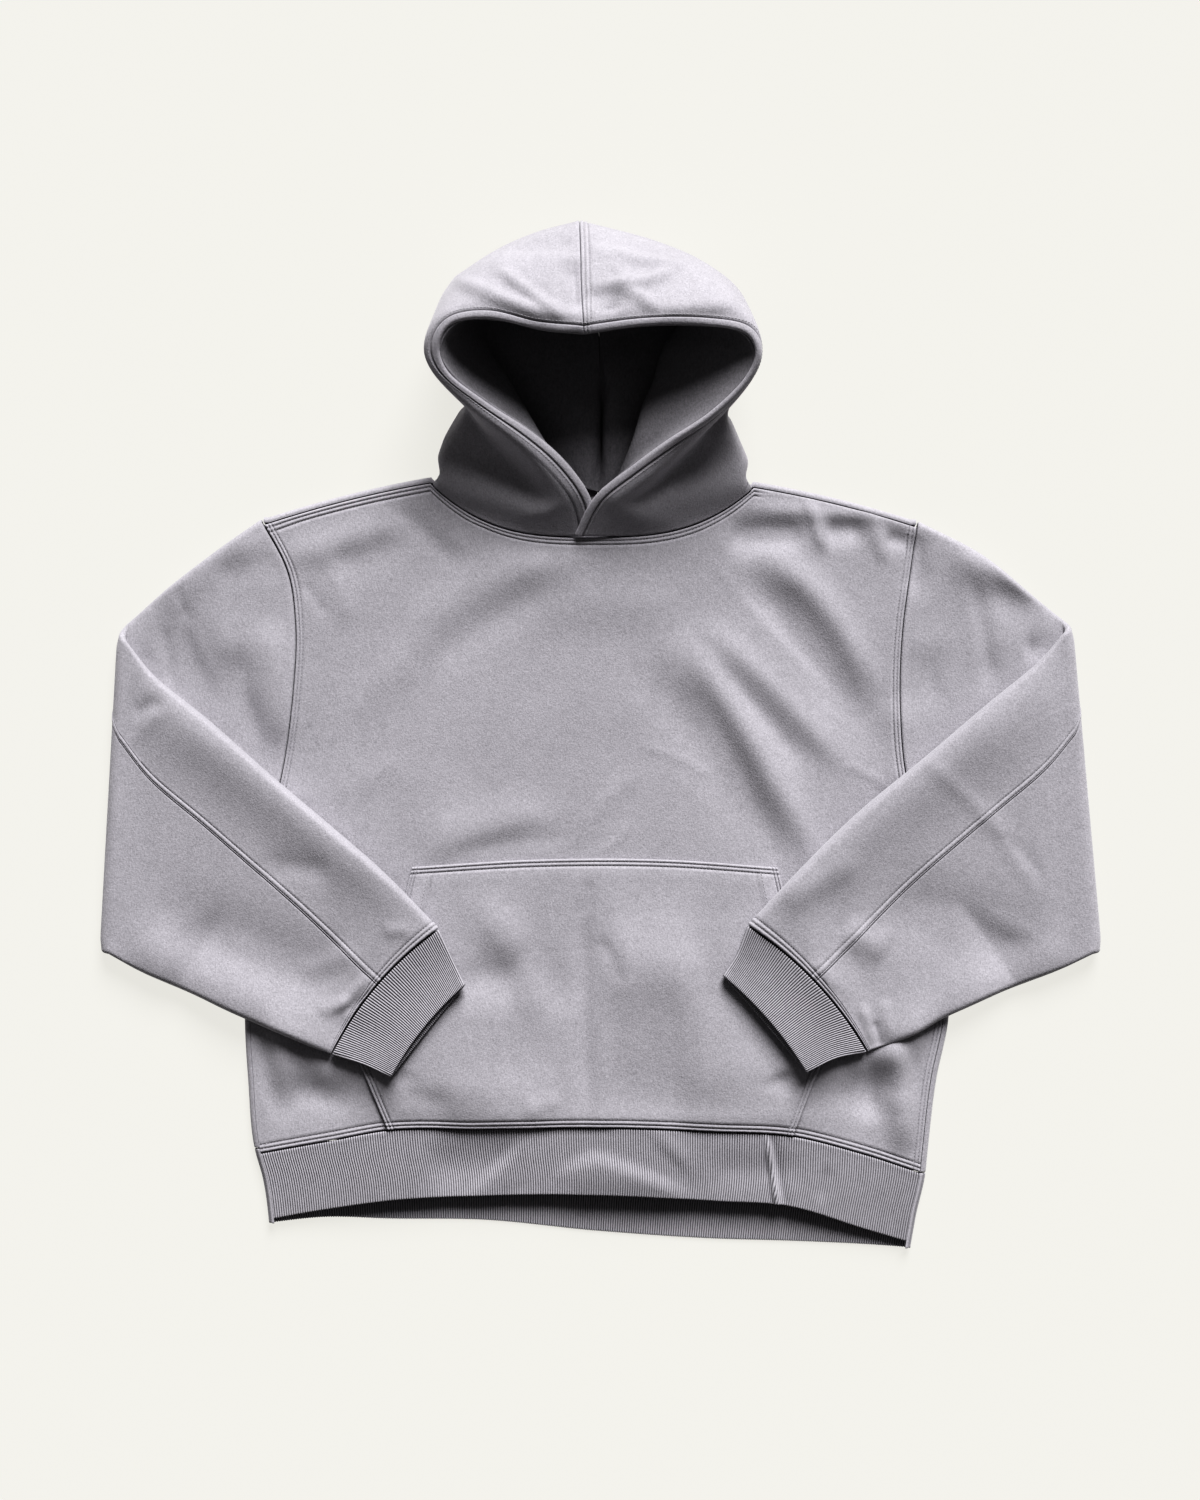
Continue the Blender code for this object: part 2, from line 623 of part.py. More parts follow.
def front_panel():
    across = shares_across(FRONT_NECK_STEPS, TURN_STEPS["front"], ARMHOLE_SEAM / 2)

    def inset(y):
        side = ROLL + CLOTH / 2 + SIDE_SEAM
        return side + (ARMHOLE_SEAM / 2 - side) * armhole_share(y)

    def low(x):
        return hem_line("seam", x) + SEAM / 2

    def high(x):
        return front_top(x) - SEAM / 2

    x, y = panel_plan(across, FRONT_ROWS, low, high, inset)
    add_wall("front", "fleece", np.stack((x, y, upper_height(x, y)), -1), PANEL_SEAMS)


def back_panel():
    """The back lies on the floor and rolls half round at the sides and shoulders."""
    side_inset = ROLL + CLOTH / 2 + ARMHOLE_SEAM / 2
    across = shares_across(BACK_NECK_STEPS, TURN_STEPS["back"], side_inset)

    def inset(y):
        return ROLL + CLOTH / 2 + ARMHOLE_SEAM / 2 * armhole_share(y)

    def high(x):
        rolled = shoulder_share(x)
        out, _ = roll_arc(rolled, 1.0, ROLL)
        top = np.where(rolled < 1, back_neck(x), front_top(x))
        return top - out + SEAM * (rolled - 1 / 2)

    def low(x):
        return hem_line("back", x) + BAND_HEIGHT + SEAM / 2

    x, y = panel_plan(across, BACK_ROWS, low, high, inset)
    middle = np.stack((x, y, np.full_like(x, FLOOR)), -1)
    rows = [middle]
    for step in ROLL_STEPS:
        row = middle[-1].copy()
        out, up = roll_arc(shoulder_share(x[-1]), step, ROLL)
        row[:, 1] += out
        row[:, 2] += up
        rows.append(row[None])
    middle = roll_sides(np.vstack(rows))
    half = -square_edges(grid_normals(middle, False), PANEL_SEAMS) * CLOTH / 2
    middle, half = middle[:, ::-1], half[:, ::-1]
    add_shell("back", "fleece", middle + half, middle - half, (middle, middle))


def shoulder_share(x):
    """1 along the shoulders and 0 along the back neck, changing beside the neck point."""
    inside = NECK_HALF - np.abs(x - NECK_MIDDLE)
    return 1 - np.clip(inside / NECK_TURN, 0.0, 1.0)


def roll_arc(rolled, step, flat_length):
    """How far out and up a strip reaches at a share of its length: a half circle where it is
    rolled up, opening to a flat strip of the given length where it isn't."""
    angle = np.pi * np.maximum(rolled, NEARLY_FLAT)
    radius = (ROLL * rolled + flat_length * (1 - rolled) / np.pi) / np.maximum(rolled, NEARLY_FLAT)
    return radius * np.sin(angle * step), radius * (1 - np.cos(angle * step))


def roll_sides(middle):
    """Adds the columns that roll half round at the side folds and lie flat by the armholes."""
    left, right = [], []
    for step in ROLL_STEPS:
        for sign, edge, found in ((-1, 0, left), (1, -1, right)):
            line = middle[:, edge].copy()
            out, up = roll_arc(1 - armhole_share(line[:, 1]), step, ROLL + CLOTH / 2)
            line[:, 0] += sign * out
            line[:, 2] += up
            found.append(line[:, None])
    return np.hstack(left[::-1] + [middle] + right)


def pocket():
    """Kangaroo pocket: its points are the front's, moved out by one layer."""
    across = np.linspace(0.0, 1.0, POCKET_COLUMNS)
    up = np.linspace(0.0, 1.0, POCKET_ROWS)
    heights = POCKET_EDGES[0][0] + (POCKET_EDGES[-1][0] - POCKET_EDGES[0][0]) * up
    left = spline(column(POCKET_EDGES, 0), column(POCKET_EDGES, 1), heights)[:, None]
    right = spline(column(POCKET_EDGES, 0), column(POCKET_EDGES, 2), heights)[:, None]
    x = left + (right - left) * across
    low = hem_line("seam", x[0]) + SEAM / 2
    high = spline(column(POCKET_TOP, 0), column(POCKET_TOP, 1), x[-1])
    y = low + (high - low) * up[:, None]
    z = upper_height(x, y) + POCKET_LIFT
    add_wall("pocket", "fleece", np.stack((x, y, z), -1))


# ---- sleeves ------------------------------------------------------------------------------


def layer_places(width):
    """Distances from the upper fold edge at which a flattened tube has its points."""
    near = np.array(ROLL_OFFSETS)
    if width > 3 * LAYER_PLACES[-1]:
        inner = np.array(LAYER_PLACES)
        middle = width * np.array(LAYER_MIDDLE)
        return np.concatenate((near, inner, middle, (width - inner)[::-1], (width - near)[::-1]))
    inner = np.linspace(LAYER_PLACES[0], width - LAYER_PLACES[0], 2 * len(LAYER_PLACES) + 2)
    return np.concatenate((near, inner, (width - near)[::-1]))


def layer_spread(places, width, roll):
    """How far apart the two layers are at each place, from 0 at the fold edges to 1."""
    edge = np.minimum(places, width - places)
    return np.sqrt(np.clip(1 - (1 - np.minimum(edge / roll, 1.0)) ** 2, 0.0, 1.0))


def tube_ring(upper, lower):
    """One ring of a flattened tube: over the upper layer and back under the lower one."""
    return np.vstack((upper, lower[1:-1][::-1]))


def line_points(top, bottom, places):
    """Plan of a ring: its places lie on the line from its upper to its lower fold edge."""
    top, bottom = np.asarray(top, float), np.asarray(bottom, float)
    ends = (bottom - top) / np.hypot(*(bottom - top))
    start = top + ends * CLOTH / 2
    return start + ends * places[:, None]


def inner_width(top, bottom):
    return np.hypot(*(np.asarray(bottom, float) - np.asarray(top, float))) - CLOTH


def armhole_bow(side, y, top, bottom):
    """How far the armhole curves in from the straight line between its ends."""
    straight = top[0] + (bottom[0] - top[0]) * (y - top[1]) / (bottom[1] - top[1])
    return body_edge(side, y) - straight


def upper_arm_rings(side):
    stations = UPPER_ARM[side]
    knots = np.arange(len(stations))
    sign = -1 if side == "left" else 1
    hole_top, hole_bottom, _ = stations[0]
    rings = []
    for at in np.linspace(0.0, len(stations) - 1, UPPER_ARM_RINGS):
        top = spline(knots, [s[0] for s in stations], at)
        bottom = spline(knots, [s[1] for s in stations], at)
        bow = spline(knots, [s[2] for s in stations], at)
        width = inner_width(top, bottom)
        places = layer_places(width)
        plan = line_points(top, bottom, places)
        hole_y = hole_top[1] + (hole_bottom[1] - hole_top[1]) * places / width
        plan[:, 0] += bow * armhole_bow(side, hole_y, hole_top, hole_bottom)
        plan[:, 0] += sign * ARMHOLE_SEAM / 2 * (1 - at / knots[-1])
        spread = layer_spread(places, width, ROLL)
        top_z = upper_height(plan[:, 0], plan[:, 1])
        middle_z, half = (top_z + FLOOR) / 2, (top_z - FLOOR) / 2 * spread
        rings.append(tube_ring(
            np.column_stack((plan, middle_z + half)), np.column_stack((plan, middle_z - half))
        ))
    return rings


def crease_rings(side):
    """The turn over the crease: the lower layer of the arm goes round outside the upper one."""
    sign = -1 if side == "left" else 1
    upper_top, upper_bottom, _ = UPPER_ARM[side][-1]
    fore_top, fore_bottom = FOREARM[side][0]
    rings = []
    for step in np.linspace(0.0, 1.0, CREASE_RINGS)[1:-1]:
        angle = np.pi * step
        top = np.array(upper_top) * (1 - step) + np.array(fore_top) * step
        bottom = np.array(upper_bottom) * (1 - step) + np.array(fore_bottom) * step
        width = inner_width(top, bottom)
        places = layer_places(width)
        plan = line_points(top, bottom, places)
        spread = layer_spread(places, width, CREASE_LOFT / 2)
        out = np.array((sign, 0.0))
        found = []
        for layer in (-1, 1):
            radius = CREASE_RADIUS + layer * CREASE_LOFT / 2 * spread
            z = FLOOR + CREASE_RADIUS + CREASE_LOFT / 2 - radius * np.cos(angle)
            found.append(np.column_stack((plan + out * (radius * np.sin(angle))[:, None], z)))
        rings.append(tube_ring(*found))
    return rings


def bow_back(side, top, bottom, places, width, amount):
    """Moves a ring's places towards the elbow in an arc, most in its middle."""
    ends = (bottom - top) / np.hypot(*(bottom - top))
    back = np.array((ends[1], -ends[0])) * (1 if side == "left" else -1)
    share = places / width
    return back * (amount * 4 * share * (1 - share))[:, None]


def forearm_layers(side, at, places, width, plan, loft):
    """Upper and lower layer of the forearm over what it lies on."""
    turned = FLOOR + 2 * CREASE_RADIUS
    low = forearm_floor(side, plan[:, 0], plan[:, 1])
    low = low + (turned - low) * (1 - smoothstep(at / SLEEVE_TURN))
    half = loft / 2 * layer_spread(places, width, loft / 2)
    return low + loft / 2 + half, low + loft / 2 - half


def forearm_rings(side):
    stations = FOREARM[side]
    knots = np.arange(len(stations))
    rings = []
    for at in np.linspace(0.0, len(stations) - 1, FOREARM_RINGS):
        top = spline(knots, [s[0] for s in stations], at)
        bottom = spline(knots, [s[1] for s in stations], at)
        loft = spline(knots, SLEEVE_LOFTS, at)
        width = inner_width(top, bottom)
        places = layer_places(width)
        plan = line_points(top, bottom, places)
        amount = CUFF_BOW * smoothstep((at - CUFF_BOW_START) / (knots[-1] - CUFF_BOW_START))
        plan += bow_back(side, top, bottom, places, width, amount)
        upper_z, lower_z = forearm_layers(side, at, places, width, plan, loft)
        rings.append(tube_ring(
            np.column_stack((plan, lower_z)), np.column_stack((plan, upper_z))
        ))
    return rings


def cuff_direction(side):
    (top, bottom), (top_end, bottom_end) = CUFF[side][0], CUFF[side][-1]
    start = (np.array(top) + np.array(bottom)) / 2
    end = (np.array(top_end) + np.array(bottom_end)) / 2
    return np.append(end - start, 0.0)


def sleeve(side):
    rings = upper_arm_rings(side) + crease_rings(side) + forearm_rings(side)
    middle = np.array(rings)
    if side == "left":
        middle = middle[:, ::-1]
    seams = (("first row", X_AXIS), ("last row", cuff_direction(side)))
    add_wall(f"sleeve_{side}", "fleece", middle, seams, ring=True)


def cuff_ring(side, at, places_of):
    stations = CUFF[side]
    knots = np.arange(len(stations))
    top = spline(knots, [s[0] for s in stations], at)
    bottom = spline(knots, [s[1] for s in stations], at)
    width = inner_width(top, bottom)
    places = places_of(width)
    plan = line_points(top, bottom, places)
    plan += bow_back(side, top, bottom, places, width, CUFF_BOW * (1 - at / knots[-1] / 2))
    low = forearm_floor(side, plan[:, 0], plan[:, 1]) + RIB_DEPTH
    half = CUFF_LOFT / 2 * layer_spread(places, width, CUFF_LOFT / 2)
    upper_z, lower_z = low + CUFF_LOFT / 2 + half, low + CUFF_LOFT / 2 - half
    return tube_ring(np.column_stack((plan, lower_z)), np.column_stack((plan, upper_z)))


def rib_wave(count):
    """Alternate crests and grooves of a ribbed strip."""
    return np.where(np.arange(count) % 2 == 0, RIB_DEPTH / 2, -RIB_DEPTH / 2)


def cuff(side):
    """Ribbed cuff: fine ribs in its outer points, plain inside."""
    rows = (0.0, len(CUFF[side]) - 1.0)
    ribs = 2 * int(round(inner_width(*CUFF[side][0]) / RIB_PITCH))

    def places(steps, crowding):
        even = np.linspace(0.0, 1.0, steps + 1)
        crowded = (1 - np.cos(np.pi * even)) / 2
        return lambda width: width * (even + crowding * (crowded - even))

    plain_places = places(CUFF_STEPS, PLAIN_CROWDING)
    fine_places = places(ribs, RIB_CROWDING)
    order = slice(None, None, -1) if side == "left" else slice(None)
    inner_middle = np.array([cuff_ring(side, at, plain_places) for at in rows])[:, order]
    outer_middle = np.array([cuff_ring(side, at, fine_places) for at in rows])[:, order]
    seams = (("first row", cuff_direction(side)), ("last row", cuff_direction(side)))
    inner_normals = square_edges(grid_normals(inner_middle, True), seams)
    outer_normals = square_edges(grid_normals(outer_middle, True), seams)
    relief = CLOTH / 2 + rib_wave(outer_middle.shape[1])
    add_shell(
        f"cuff_{side}",
        "rib",
        outer_middle + outer_normals * relief[None, :, None],
        inner_middle - inner_normals * CLOTH / 2,
        (outer_middle, inner_middle),
        ring=True,
    )


# ---- hem ----------------------------------------------------------------------------------


def band_plan(steps, kind, inset):
    """Plan of a hem band, from its lower edge to its seam."""
    across = np.linspace(0.0, 1.0, steps + 1)
    up = np.array((0.0, 1.0))[:, None]
    low_x = high_x = np.interp(across, (0, 1), (HEM_LINES[0][0], HEM_LINES[-1][0]))
    for _ in range(PLAN_PASSES):
        low = hem_line(kind, low_x)
        if kind == "front":
            high = hem_line("seam", high_x) - SEAM / 2
        else:
            high = hem_line("back", high_x) + BAND_HEIGHT - SEAM / 2
        y = low + (high - low) * up
        left, right = body_edge("left", y) + inset, body_edge("right", y) - inset
        x = left + (right - left) * across
        low_x, high_x = x[0], x[-1]
    return x, y


def hem_front():
    """Front of the waistband: ribs in its outer points over a plain inside."""
    inset = ROLL + CLOTH / 2 + SIDE_SEAM
    width = HEM_LINES[-1][0] - HEM_LINES[0][0] - 2 * inset
    ribs = 2 * int(round(width / RIB_PITCH))

    def grid(steps):
        x, y = band_plan(steps, "front", inset)
        return np.stack((x, y, upper_height(x, y)), -1)

    outer_middle = grid(ribs)
    inner_middle = grid(BAND_STEPS["front"])
    seams = (("last row", Y_AXIS), ("first column", X_AXIS), ("last column", X_AXIS))
    inner_normals = square_edges(grid_normals(inner_middle, False), seams)
    outer_normals = square_edges(grid_normals(outer_middle, False), seams)
    relief = CLOTH / 2 + rib_wave(ribs + 1)
    add_shell(
        "hem_front",
        "rib",
        outer_middle + outer_normals * relief[None, :, None],
        inner_middle - inner_normals * CLOTH / 2,
        (outer_middle, inner_middle),
    )


def hem_back():
    """Back of the waistband, flat on the floor and rolled round at the sides."""
    inset = ROLL + CLOTH / 2
    x, y = band_plan(BAND_STEPS["back"], "back", inset)
    middle = roll_sides(np.stack((x, y, np.full_like(x, FLOOR)), -1))
    seams = (("last row", Y_AXIS), ("first column", X_AXIS), ("last column", X_AXIS))
    half = -square_edges(grid_normals(middle, False), seams) * CLOTH / 2
    middle, half = middle[:, ::-1], half[:, ::-1]
    add_shell("hem_back", "rib", middle + half, middle - half, (middle, middle))


# ---- hood ---------------------------------------------------------------------------------


def spread_table(table, rows, columns):
    """A smooth grid through a table of sections, read at shares of its rows and columns."""
    table = np.asarray(table, float)
    down = spline(np.linspace(0.0, 1.0, table.shape[0]), table, rows)
    grid = spline(np.linspace(0.0, 1.0, table.shape[1]), np.swapaxes(down, 0, 1), columns)
    return np.swapaxes(grid, 0, 1)


def neck_edge(side, columns, guide):
    """The hood's neck edge: along the front neckline, round the neck point, along the back."""
    sign = -1 if side == "left" else 1
    point_x = NECK_MIDDLE + sign * (NECK_HALF - 2 * NECK_SEAM)
    front = np.clip(columns / HOOD_TURN, 0.0, 1.0)
    back = np.clip((columns - HOOD_TURN) / (1 - HOOD_TURN), 0.0, 1.0)
    start_x, end_x = guide[0][0], OUTER_BACK[0][0]
    front_x = start_x + (point_x - start_x) * front
    front_y = front_top(front_x) + NECK_SEAM - SEAM / 2
    front_z = upper_height(front_x, front_y)
    front_z = front_z + (guide[:, 2] - front_z) * smoothstep(1 - front * 3)
    front_z = front_z + NECK_POINT_LIFT * smoothstep(4 * front - 3)
    back_x = point_x + (end_x - point_x) * back
    rolled = shoulder_share(back_x)
    back_y = back_neck(back_x) + NECK_SEAM + SEAM / 2
    back_z = FLOOR + roll_arc(rolled, 1.0, ROLL)[1]
    on_front = columns <= HOOD_TURN
    return np.column_stack((
        np.where(on_front, front_x, back_x),
        np.where(on_front, front_y, back_y),
        np.where(on_front, front_z, back_z),
    ))


def outer_grid(side, rows, columns):
    sign = -1 if side == "left" else 1
    table = [list(row) for row in OUTER_HOOD[side]] + [list(OUTER_CROWN)]
    for row, (x, y) in zip(table, OUTER_BACK):
        row.append((x, y, FLOOR))
    grid = spread_table(table, rows, columns)
    fade = (1 - smoothstep(rows / NECK_EDGE_FADE))[:, None, None]
    edge = neck_edge(side, columns, grid[0])
    grid = grid + (edge - grid[0])[None] * fade
    grid[..., 2] = np.maximum(grid[..., 2], FLOOR)
    grid[:, -1, 0] += sign * SEAM / 2
    grid[-1, :-1, 0] += sign * SEAM / 2
    return grid


def lining_grid(side, rows, columns):
    sign = -1 if side == "left" else 1
    shares = np.array(LINING_SHARES)
    rim = spread_table(
        [list(row) for row in OUTER_HOOD[side]] + [list(OUTER_CROWN)], shares, np.array((0.0,))
    )[:, 0]
    tangent = np.gradient(rim, axis=0)
    inward = unit(np.column_stack((-tangent[:, 1], tangent[:, 0])) * sign)
    rim = rim + RIM_STEP * np.column_stack((inward, np.full(len(rim), -0.5)))
    rim[-1, :2] = OUTER_CROWN[0][0], OUTER_CROWN[0][1] - RIM_STEP
    table = []
    for start, row, (x, y) in zip(rim, LINING_HOOD[side] + (LINING_CROWN,), LINING_BACK):
        facing, fold, hollow, roll = row
        turned = (hollow[0], hollow[1], hollow[2] + HOLLOW_ROUND[1])
        floor = (hollow[0] - sign * HOLLOW_ROUND[0], hollow[1], LINING_FLOOR)
        if row is LINING_CROWN:
            floor = (hollow[0], hollow[1] - HOLLOW_ROUND[0], LINING_FLOOR)
        table.append([start, facing, fold, turned, floor, roll, (x, y, LINING_FLOOR)])
    grid = spread_table(table, rows, columns)
    grid[..., 2] = np.maximum(grid[..., 2], LINING_FLOOR)
    grid[:, -1, 0] += sign * SEAM / 2
    grid[-1, :-1, 0] += sign * SEAM / 2
    return grid


def hood_panel(name, finish, grid, side, seams):
    """One hood panel; the left one's rows are turned round so that it faces out."""
    if side == "left":
        grid = grid[::-1]
        seams = [(SWAPPED.get(edge, edge), axis) for edge, axis in seams]
    add_wall(name, finish, grid, seams)


def hood():
    centre = [("last column", X_AXIS), ("last row", X_AXIS)]
    neck = [("first row", Y_AXIS)]
    rows = np.linspace(0.0, 1.0, HOOD_ROWS)
    for side in ("left", "right"):
        outer = outer_grid(side, rows, np.array(HOOD_COLUMNS))
        lining = lining_grid(side, rows, np.linspace(0.0, 1.0, LINING_COLUMNS))
        hood_panel(f"hood_{side}", "fleece", outer, side, neck + centre)
        hood_panel(f"lining_{side}", "lining", lining, side, centre)


def clear_scene():
    for obj in list(bpy.data.objects):
        bpy.data.objects.remove(obj)


def main():
    clear_scene()
    back_panel()
    front_panel()
    pocket()
    for side in ("left", "right"):
        sleeve(side)
        cuff(side)
    hem_back()
    hem_front()
    hood()


main()
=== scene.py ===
"""Dressed model of a pullover hoodie in heavy brushed fleece, laid flat on its back.

The garment's plan, heights and folds are the ones that its solids are built from, read on finer
grids, with the small creases, raised double-stitched seams, ribs, stitches and finishes added.
Sizes are in millimetres until a mesh is made. +Y points from the hem to the hood, +Z is up, and
left is the -X side, as seen from above.
"""

import logging
from collections.abc import Callable, Sequence
from dataclasses import dataclass, field
from enum import Enum
from math import pi, radians

import bpy
import numpy as np
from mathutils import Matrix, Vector
from numpy.typing import NDArray


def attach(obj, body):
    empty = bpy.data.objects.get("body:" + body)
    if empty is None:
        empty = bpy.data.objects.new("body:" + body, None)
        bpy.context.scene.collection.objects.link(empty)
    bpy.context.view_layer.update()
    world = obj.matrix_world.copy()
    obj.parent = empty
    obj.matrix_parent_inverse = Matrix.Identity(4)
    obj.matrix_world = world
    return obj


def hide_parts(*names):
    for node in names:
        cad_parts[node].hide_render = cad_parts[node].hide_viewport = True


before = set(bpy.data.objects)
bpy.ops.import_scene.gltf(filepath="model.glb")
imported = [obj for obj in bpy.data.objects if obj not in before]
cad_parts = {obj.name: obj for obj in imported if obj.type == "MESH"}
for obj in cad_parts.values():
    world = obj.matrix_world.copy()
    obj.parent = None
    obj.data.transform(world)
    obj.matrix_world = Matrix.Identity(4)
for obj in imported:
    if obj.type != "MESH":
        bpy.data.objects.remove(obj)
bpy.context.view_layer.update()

Array = NDArray[np.float64]
Point = tuple[float, float]
Point3 = tuple[float, float, float]

LOG = logging.getLogger("hoodie")
MM = 0.001

# The garment's box stands centred on the origin
CENTRE = (0.7, -1.3)
# Where the camera stands, before the garment is centred
CAMERA_Y = -13.5
CAMERA_HEIGHT = 2600.0

# Cloth and the gaps between its pieces
CLOTH = 2.4
FLOOR = CLOTH / 2
SEAM = 0.8
NECK_SEAM = 1.0
SIDE_SEAM = 0.3
ARMHOLE_SEAM = 0.5
ARMHOLE_STEP = 4.0
ARMHOLE_TUCK = 20.0
HOOD_SEAM = 0.3
LAYER_GAP = 0.6
SLEEVE_GAP = 1.6
ROLL = 3.9
ROLL_TOP = FLOOR + 2 * ROLL
ROLL_STEPS = 12
NEARLY_FLAT = 0.001
PLAN_PASSES = 8
SHARP_ANGLE = 60.0
# Painted shading: the colour darkens in seam grooves and lightens on raised strips, by this share of the
# relief, within this range
PAINTED_SHADING = 0.4
PAINTED_SHADING_RANGE = (-0.45, 0.06)
EDGE_TAPER = (0.45, 0.85)

# Distances from a seam at which a grid has its lines, and the two that carry stitches
SEAM_OFFSETS = (0.0, 0.4, 1.2, 2.2, 3.1, 4.1, 5.5, 6.6, 7.4, 9.6)
FIRST_STITCHES = 4
SECOND_STITCHES = 7
STITCH_LIFT = 0.12

# The least height of an upper layer's middle, and how softly it is kept
LEAST_UPPER = FLOOR + CLOTH + LAYER_GAP
LEAST_SOFTNESS = 1.2

X_AXIS, Y_AXIS, _ = np.eye(3)


class Side(Enum):
    """The garment's two sides as seen from above."""

    LEFT = "left"
    RIGHT = "right"

    @property
    def sign(self) -> int:
        """-1 on the left and 1 on the right."""
        return -1 if self is Side.LEFT else 1


class Slot(Enum):
    """Material slots of the garment's cloths."""

    FLEECE = "fleece"
    LINING = "lining"
    RIB = "rib"


class Edge(Enum):
    """The four edges of a grid of points."""

    LOW = "low"
    HIGH = "high"
    START = "start"
    END = "end"

    @property
    def place(self) -> tuple[slice | int, slice | int]:
        """The index of this edge's points in a grid.

        Returns:
            The index of the rows and that of the columns.
        """
        return {
            Edge.LOW: (0, slice(None)), Edge.HIGH: (-1, slice(None)), Edge.START: (slice(None), 0),
            Edge.END: (slice(None), -1),
        }[self]


class EdgeFinish(Enum):
    """Relief of the outer face at each of SEAM_OFFSETS from an edge."""

    PLAIN = (-0.6, -0.2, 0.05, 0.1, 0.1, 0.05, 0.0, 0.0, 0.0, 0.0)
    STITCHED = (-0.8, 0.1, 0.6, 0.5, -0.6, 0.55, 0.6, -0.75, 0.15, 0.0)
    RIM = (0.1, 0.3, 0.45, 0.55, 0.5, -0.95, 0.1, 0.05, 0.0, 0.0)


# ---- curves -------------------------------------------------------------------------------


def spline(knots: Sequence[float] | Array, values: Sequence | Array, at: float | Array) -> Array:
    """Reads a smooth line through values at rising knots.

    Args:
        knots: rising places.
        values: numbers or points, one at each knot.
        at: the places to read.

    Returns:
        The values at those places.
    """
    knots, values = np.asarray(knots, float), np.asarray(values, float)
    at = np.clip(np.asarray(at, float), knots[0], knots[-1])
    slopes = np.gradient(values, knots, axis=0)
    low = np.clip(np.searchsorted(knots, at, side="right") - 1, 0, len(knots) - 2)
    step = knots[low + 1] - knots[low]
    t = (at - knots[low]) / step
    grow = (...,) + (None,) * (values.ndim - 1)
    t, step = t[grow], step[grow]
    start = (1 + 2 * t) * (1 - t) ** 2 * values[low] + t * (1 - t) ** 2 * step * slopes[low]
    end = t * t * (3 - 2 * t) * values[low + 1] - t * t * (1 - t) * step * slopes[low + 1]
    return start + end


def column(table: Sequence[Sequence], index: int) -> list:
    """One column of a table."""
    return [row[index] for row in table]


def smoothstep(value: float | Array) -> Array:
    """Eases from 0 to 1 as value goes from 0 to 1."""
    value = np.clip(value, 0.0, 1.0)
    return value * value * (3 - 2 * value)


def at_least(value: Array, least: float | Array) -> Array:
    """Keeps values over the least one, with a soft turn."""
    over = value - least
    return least + (over + np.sqrt(over * over + LEAST_SOFTNESS**2)) / 2


def unit(vectors: Array) -> Array:
    """Vectors at length 1."""
    return vectors / np.linalg.norm(vectors, axis=-1, keepdims=True)


def crowded(length: float, step: float) -> Array:
    """Places along a line, crowded at both ends to draw its seams.

    Args:
        length: the line's length.
        step: the even step between the seams.

    Returns:
        Places from 0 to the length.
    """
    near = np.array(SEAM_OFFSETS)
    count = max(3, int(round((length - 2 * near[-1]) / step)))
    inner = np.linspace(near[-1], length - near[-1], count + 1)[1:-1]
    return np.concatenate((near, inner, (length - near)[::-1]))


def along_rows(grid: Array, places_of: Callable[[float], Array]) -> Array:
    """Reads each row of a grid again at distances along it.

    Args:
        grid: rows of points.
        places_of: gives the distances for a row's length. Their number is the same for all.

    Returns:
        The new grid.
    """
    rows = []
    for row in grid:
        run = np.concatenate(((0.0,), np.cumsum(np.linalg.norm(np.diff(row, axis=0), axis=1))))
        places = places_of(run[-1])
        rows.append(np.column_stack([np.interp(places, run, row[:, k]) for k in range(3)]))
    return np.array(rows)


def spread_table(table: Sequence, rows: Array, columns: Array) -> Array:
    """A smooth grid through a table of sections, read at shares of its rows and columns.

    Args:
        table: sections, each of the same number of points.
        rows: row shares from 0 to 1.
        columns: column shares from 0 to 1.

    Returns:
        The grid.
    """
    points = np.asarray(table, float)
    down = spline(np.linspace(0.0, 1.0, points.shape[0]), points, rows)
    grid = spline(np.linspace(0.0, 1.0, points.shape[1]), np.swapaxes(down, 0, 1), columns)
    return np.swapaxes(grid, 0, 1)


# ---- folds --------------------------------------------------------------------------------


@dataclass(frozen=True)
class Fold:
    """A soft ridge, or a trough where its height is negative."""

    name: str
    start: Point
    end: Point
    bend: float
    height: float
    half_width: float


def fold_table(*rows: tuple) -> tuple[Fold, ...]:
    """Folds from a table.

    Args:
        rows: a name, the start's x and y, the end's x and y, the bend, height and half width.

    Returns:
        The folds.
    """
    return tuple(Fold(name, (x, y), (u, v), *shape) for name, x, y, u, v, *shape in rows)


# One step of the plan view that small creases are placed on, in millimetres on the floor, and
# the view's middle, in steps right of and down from its upper left corner
VIEW_STEP = 0.9
VIEW_MIDDLE = (600, 750)
# Share of a step that is left at each cloth's height. The crown's folds are placed as on the floor
FRONT_NEARNESS = 0.995
POCKET_NEARNESS = 0.9935
FOREARM_NEARNESS = 0.9885
CROWN_NEARNESS = 1.0


def seen_folds(nearness: float, *rows: tuple) -> tuple[Fold, ...]:
    """Folds from a table of places on the plan view.

    Args:
        nearness: the share of a step that is left at the cloth's height.
        rows: a name, the start's steps right and down, the end's, the bend in steps, and the
            height and half width in millimetres.

    Returns:
        The folds, at whole millimetres.
    """

    def place(right: float, down: float) -> Point:
        """A place on the view as a place on the garment."""
        x = (right - VIEW_MIDDLE[0]) * VIEW_STEP * nearness
        return round(x), round((VIEW_MIDDLE[1] - down) * VIEW_STEP * nearness + CAMERA_Y)

    found = []
    for name, right, down, to_right, to_down, bend, *shape in rows:
        start, end = place(right, down), place(to_right, to_down)
        found.append(Fold(name, start, end, round(bend * VIEW_STEP, 1), *shape))
    return tuple(found)


FOLD_LEAD = 0.1
FOLD_FADE = 0.35

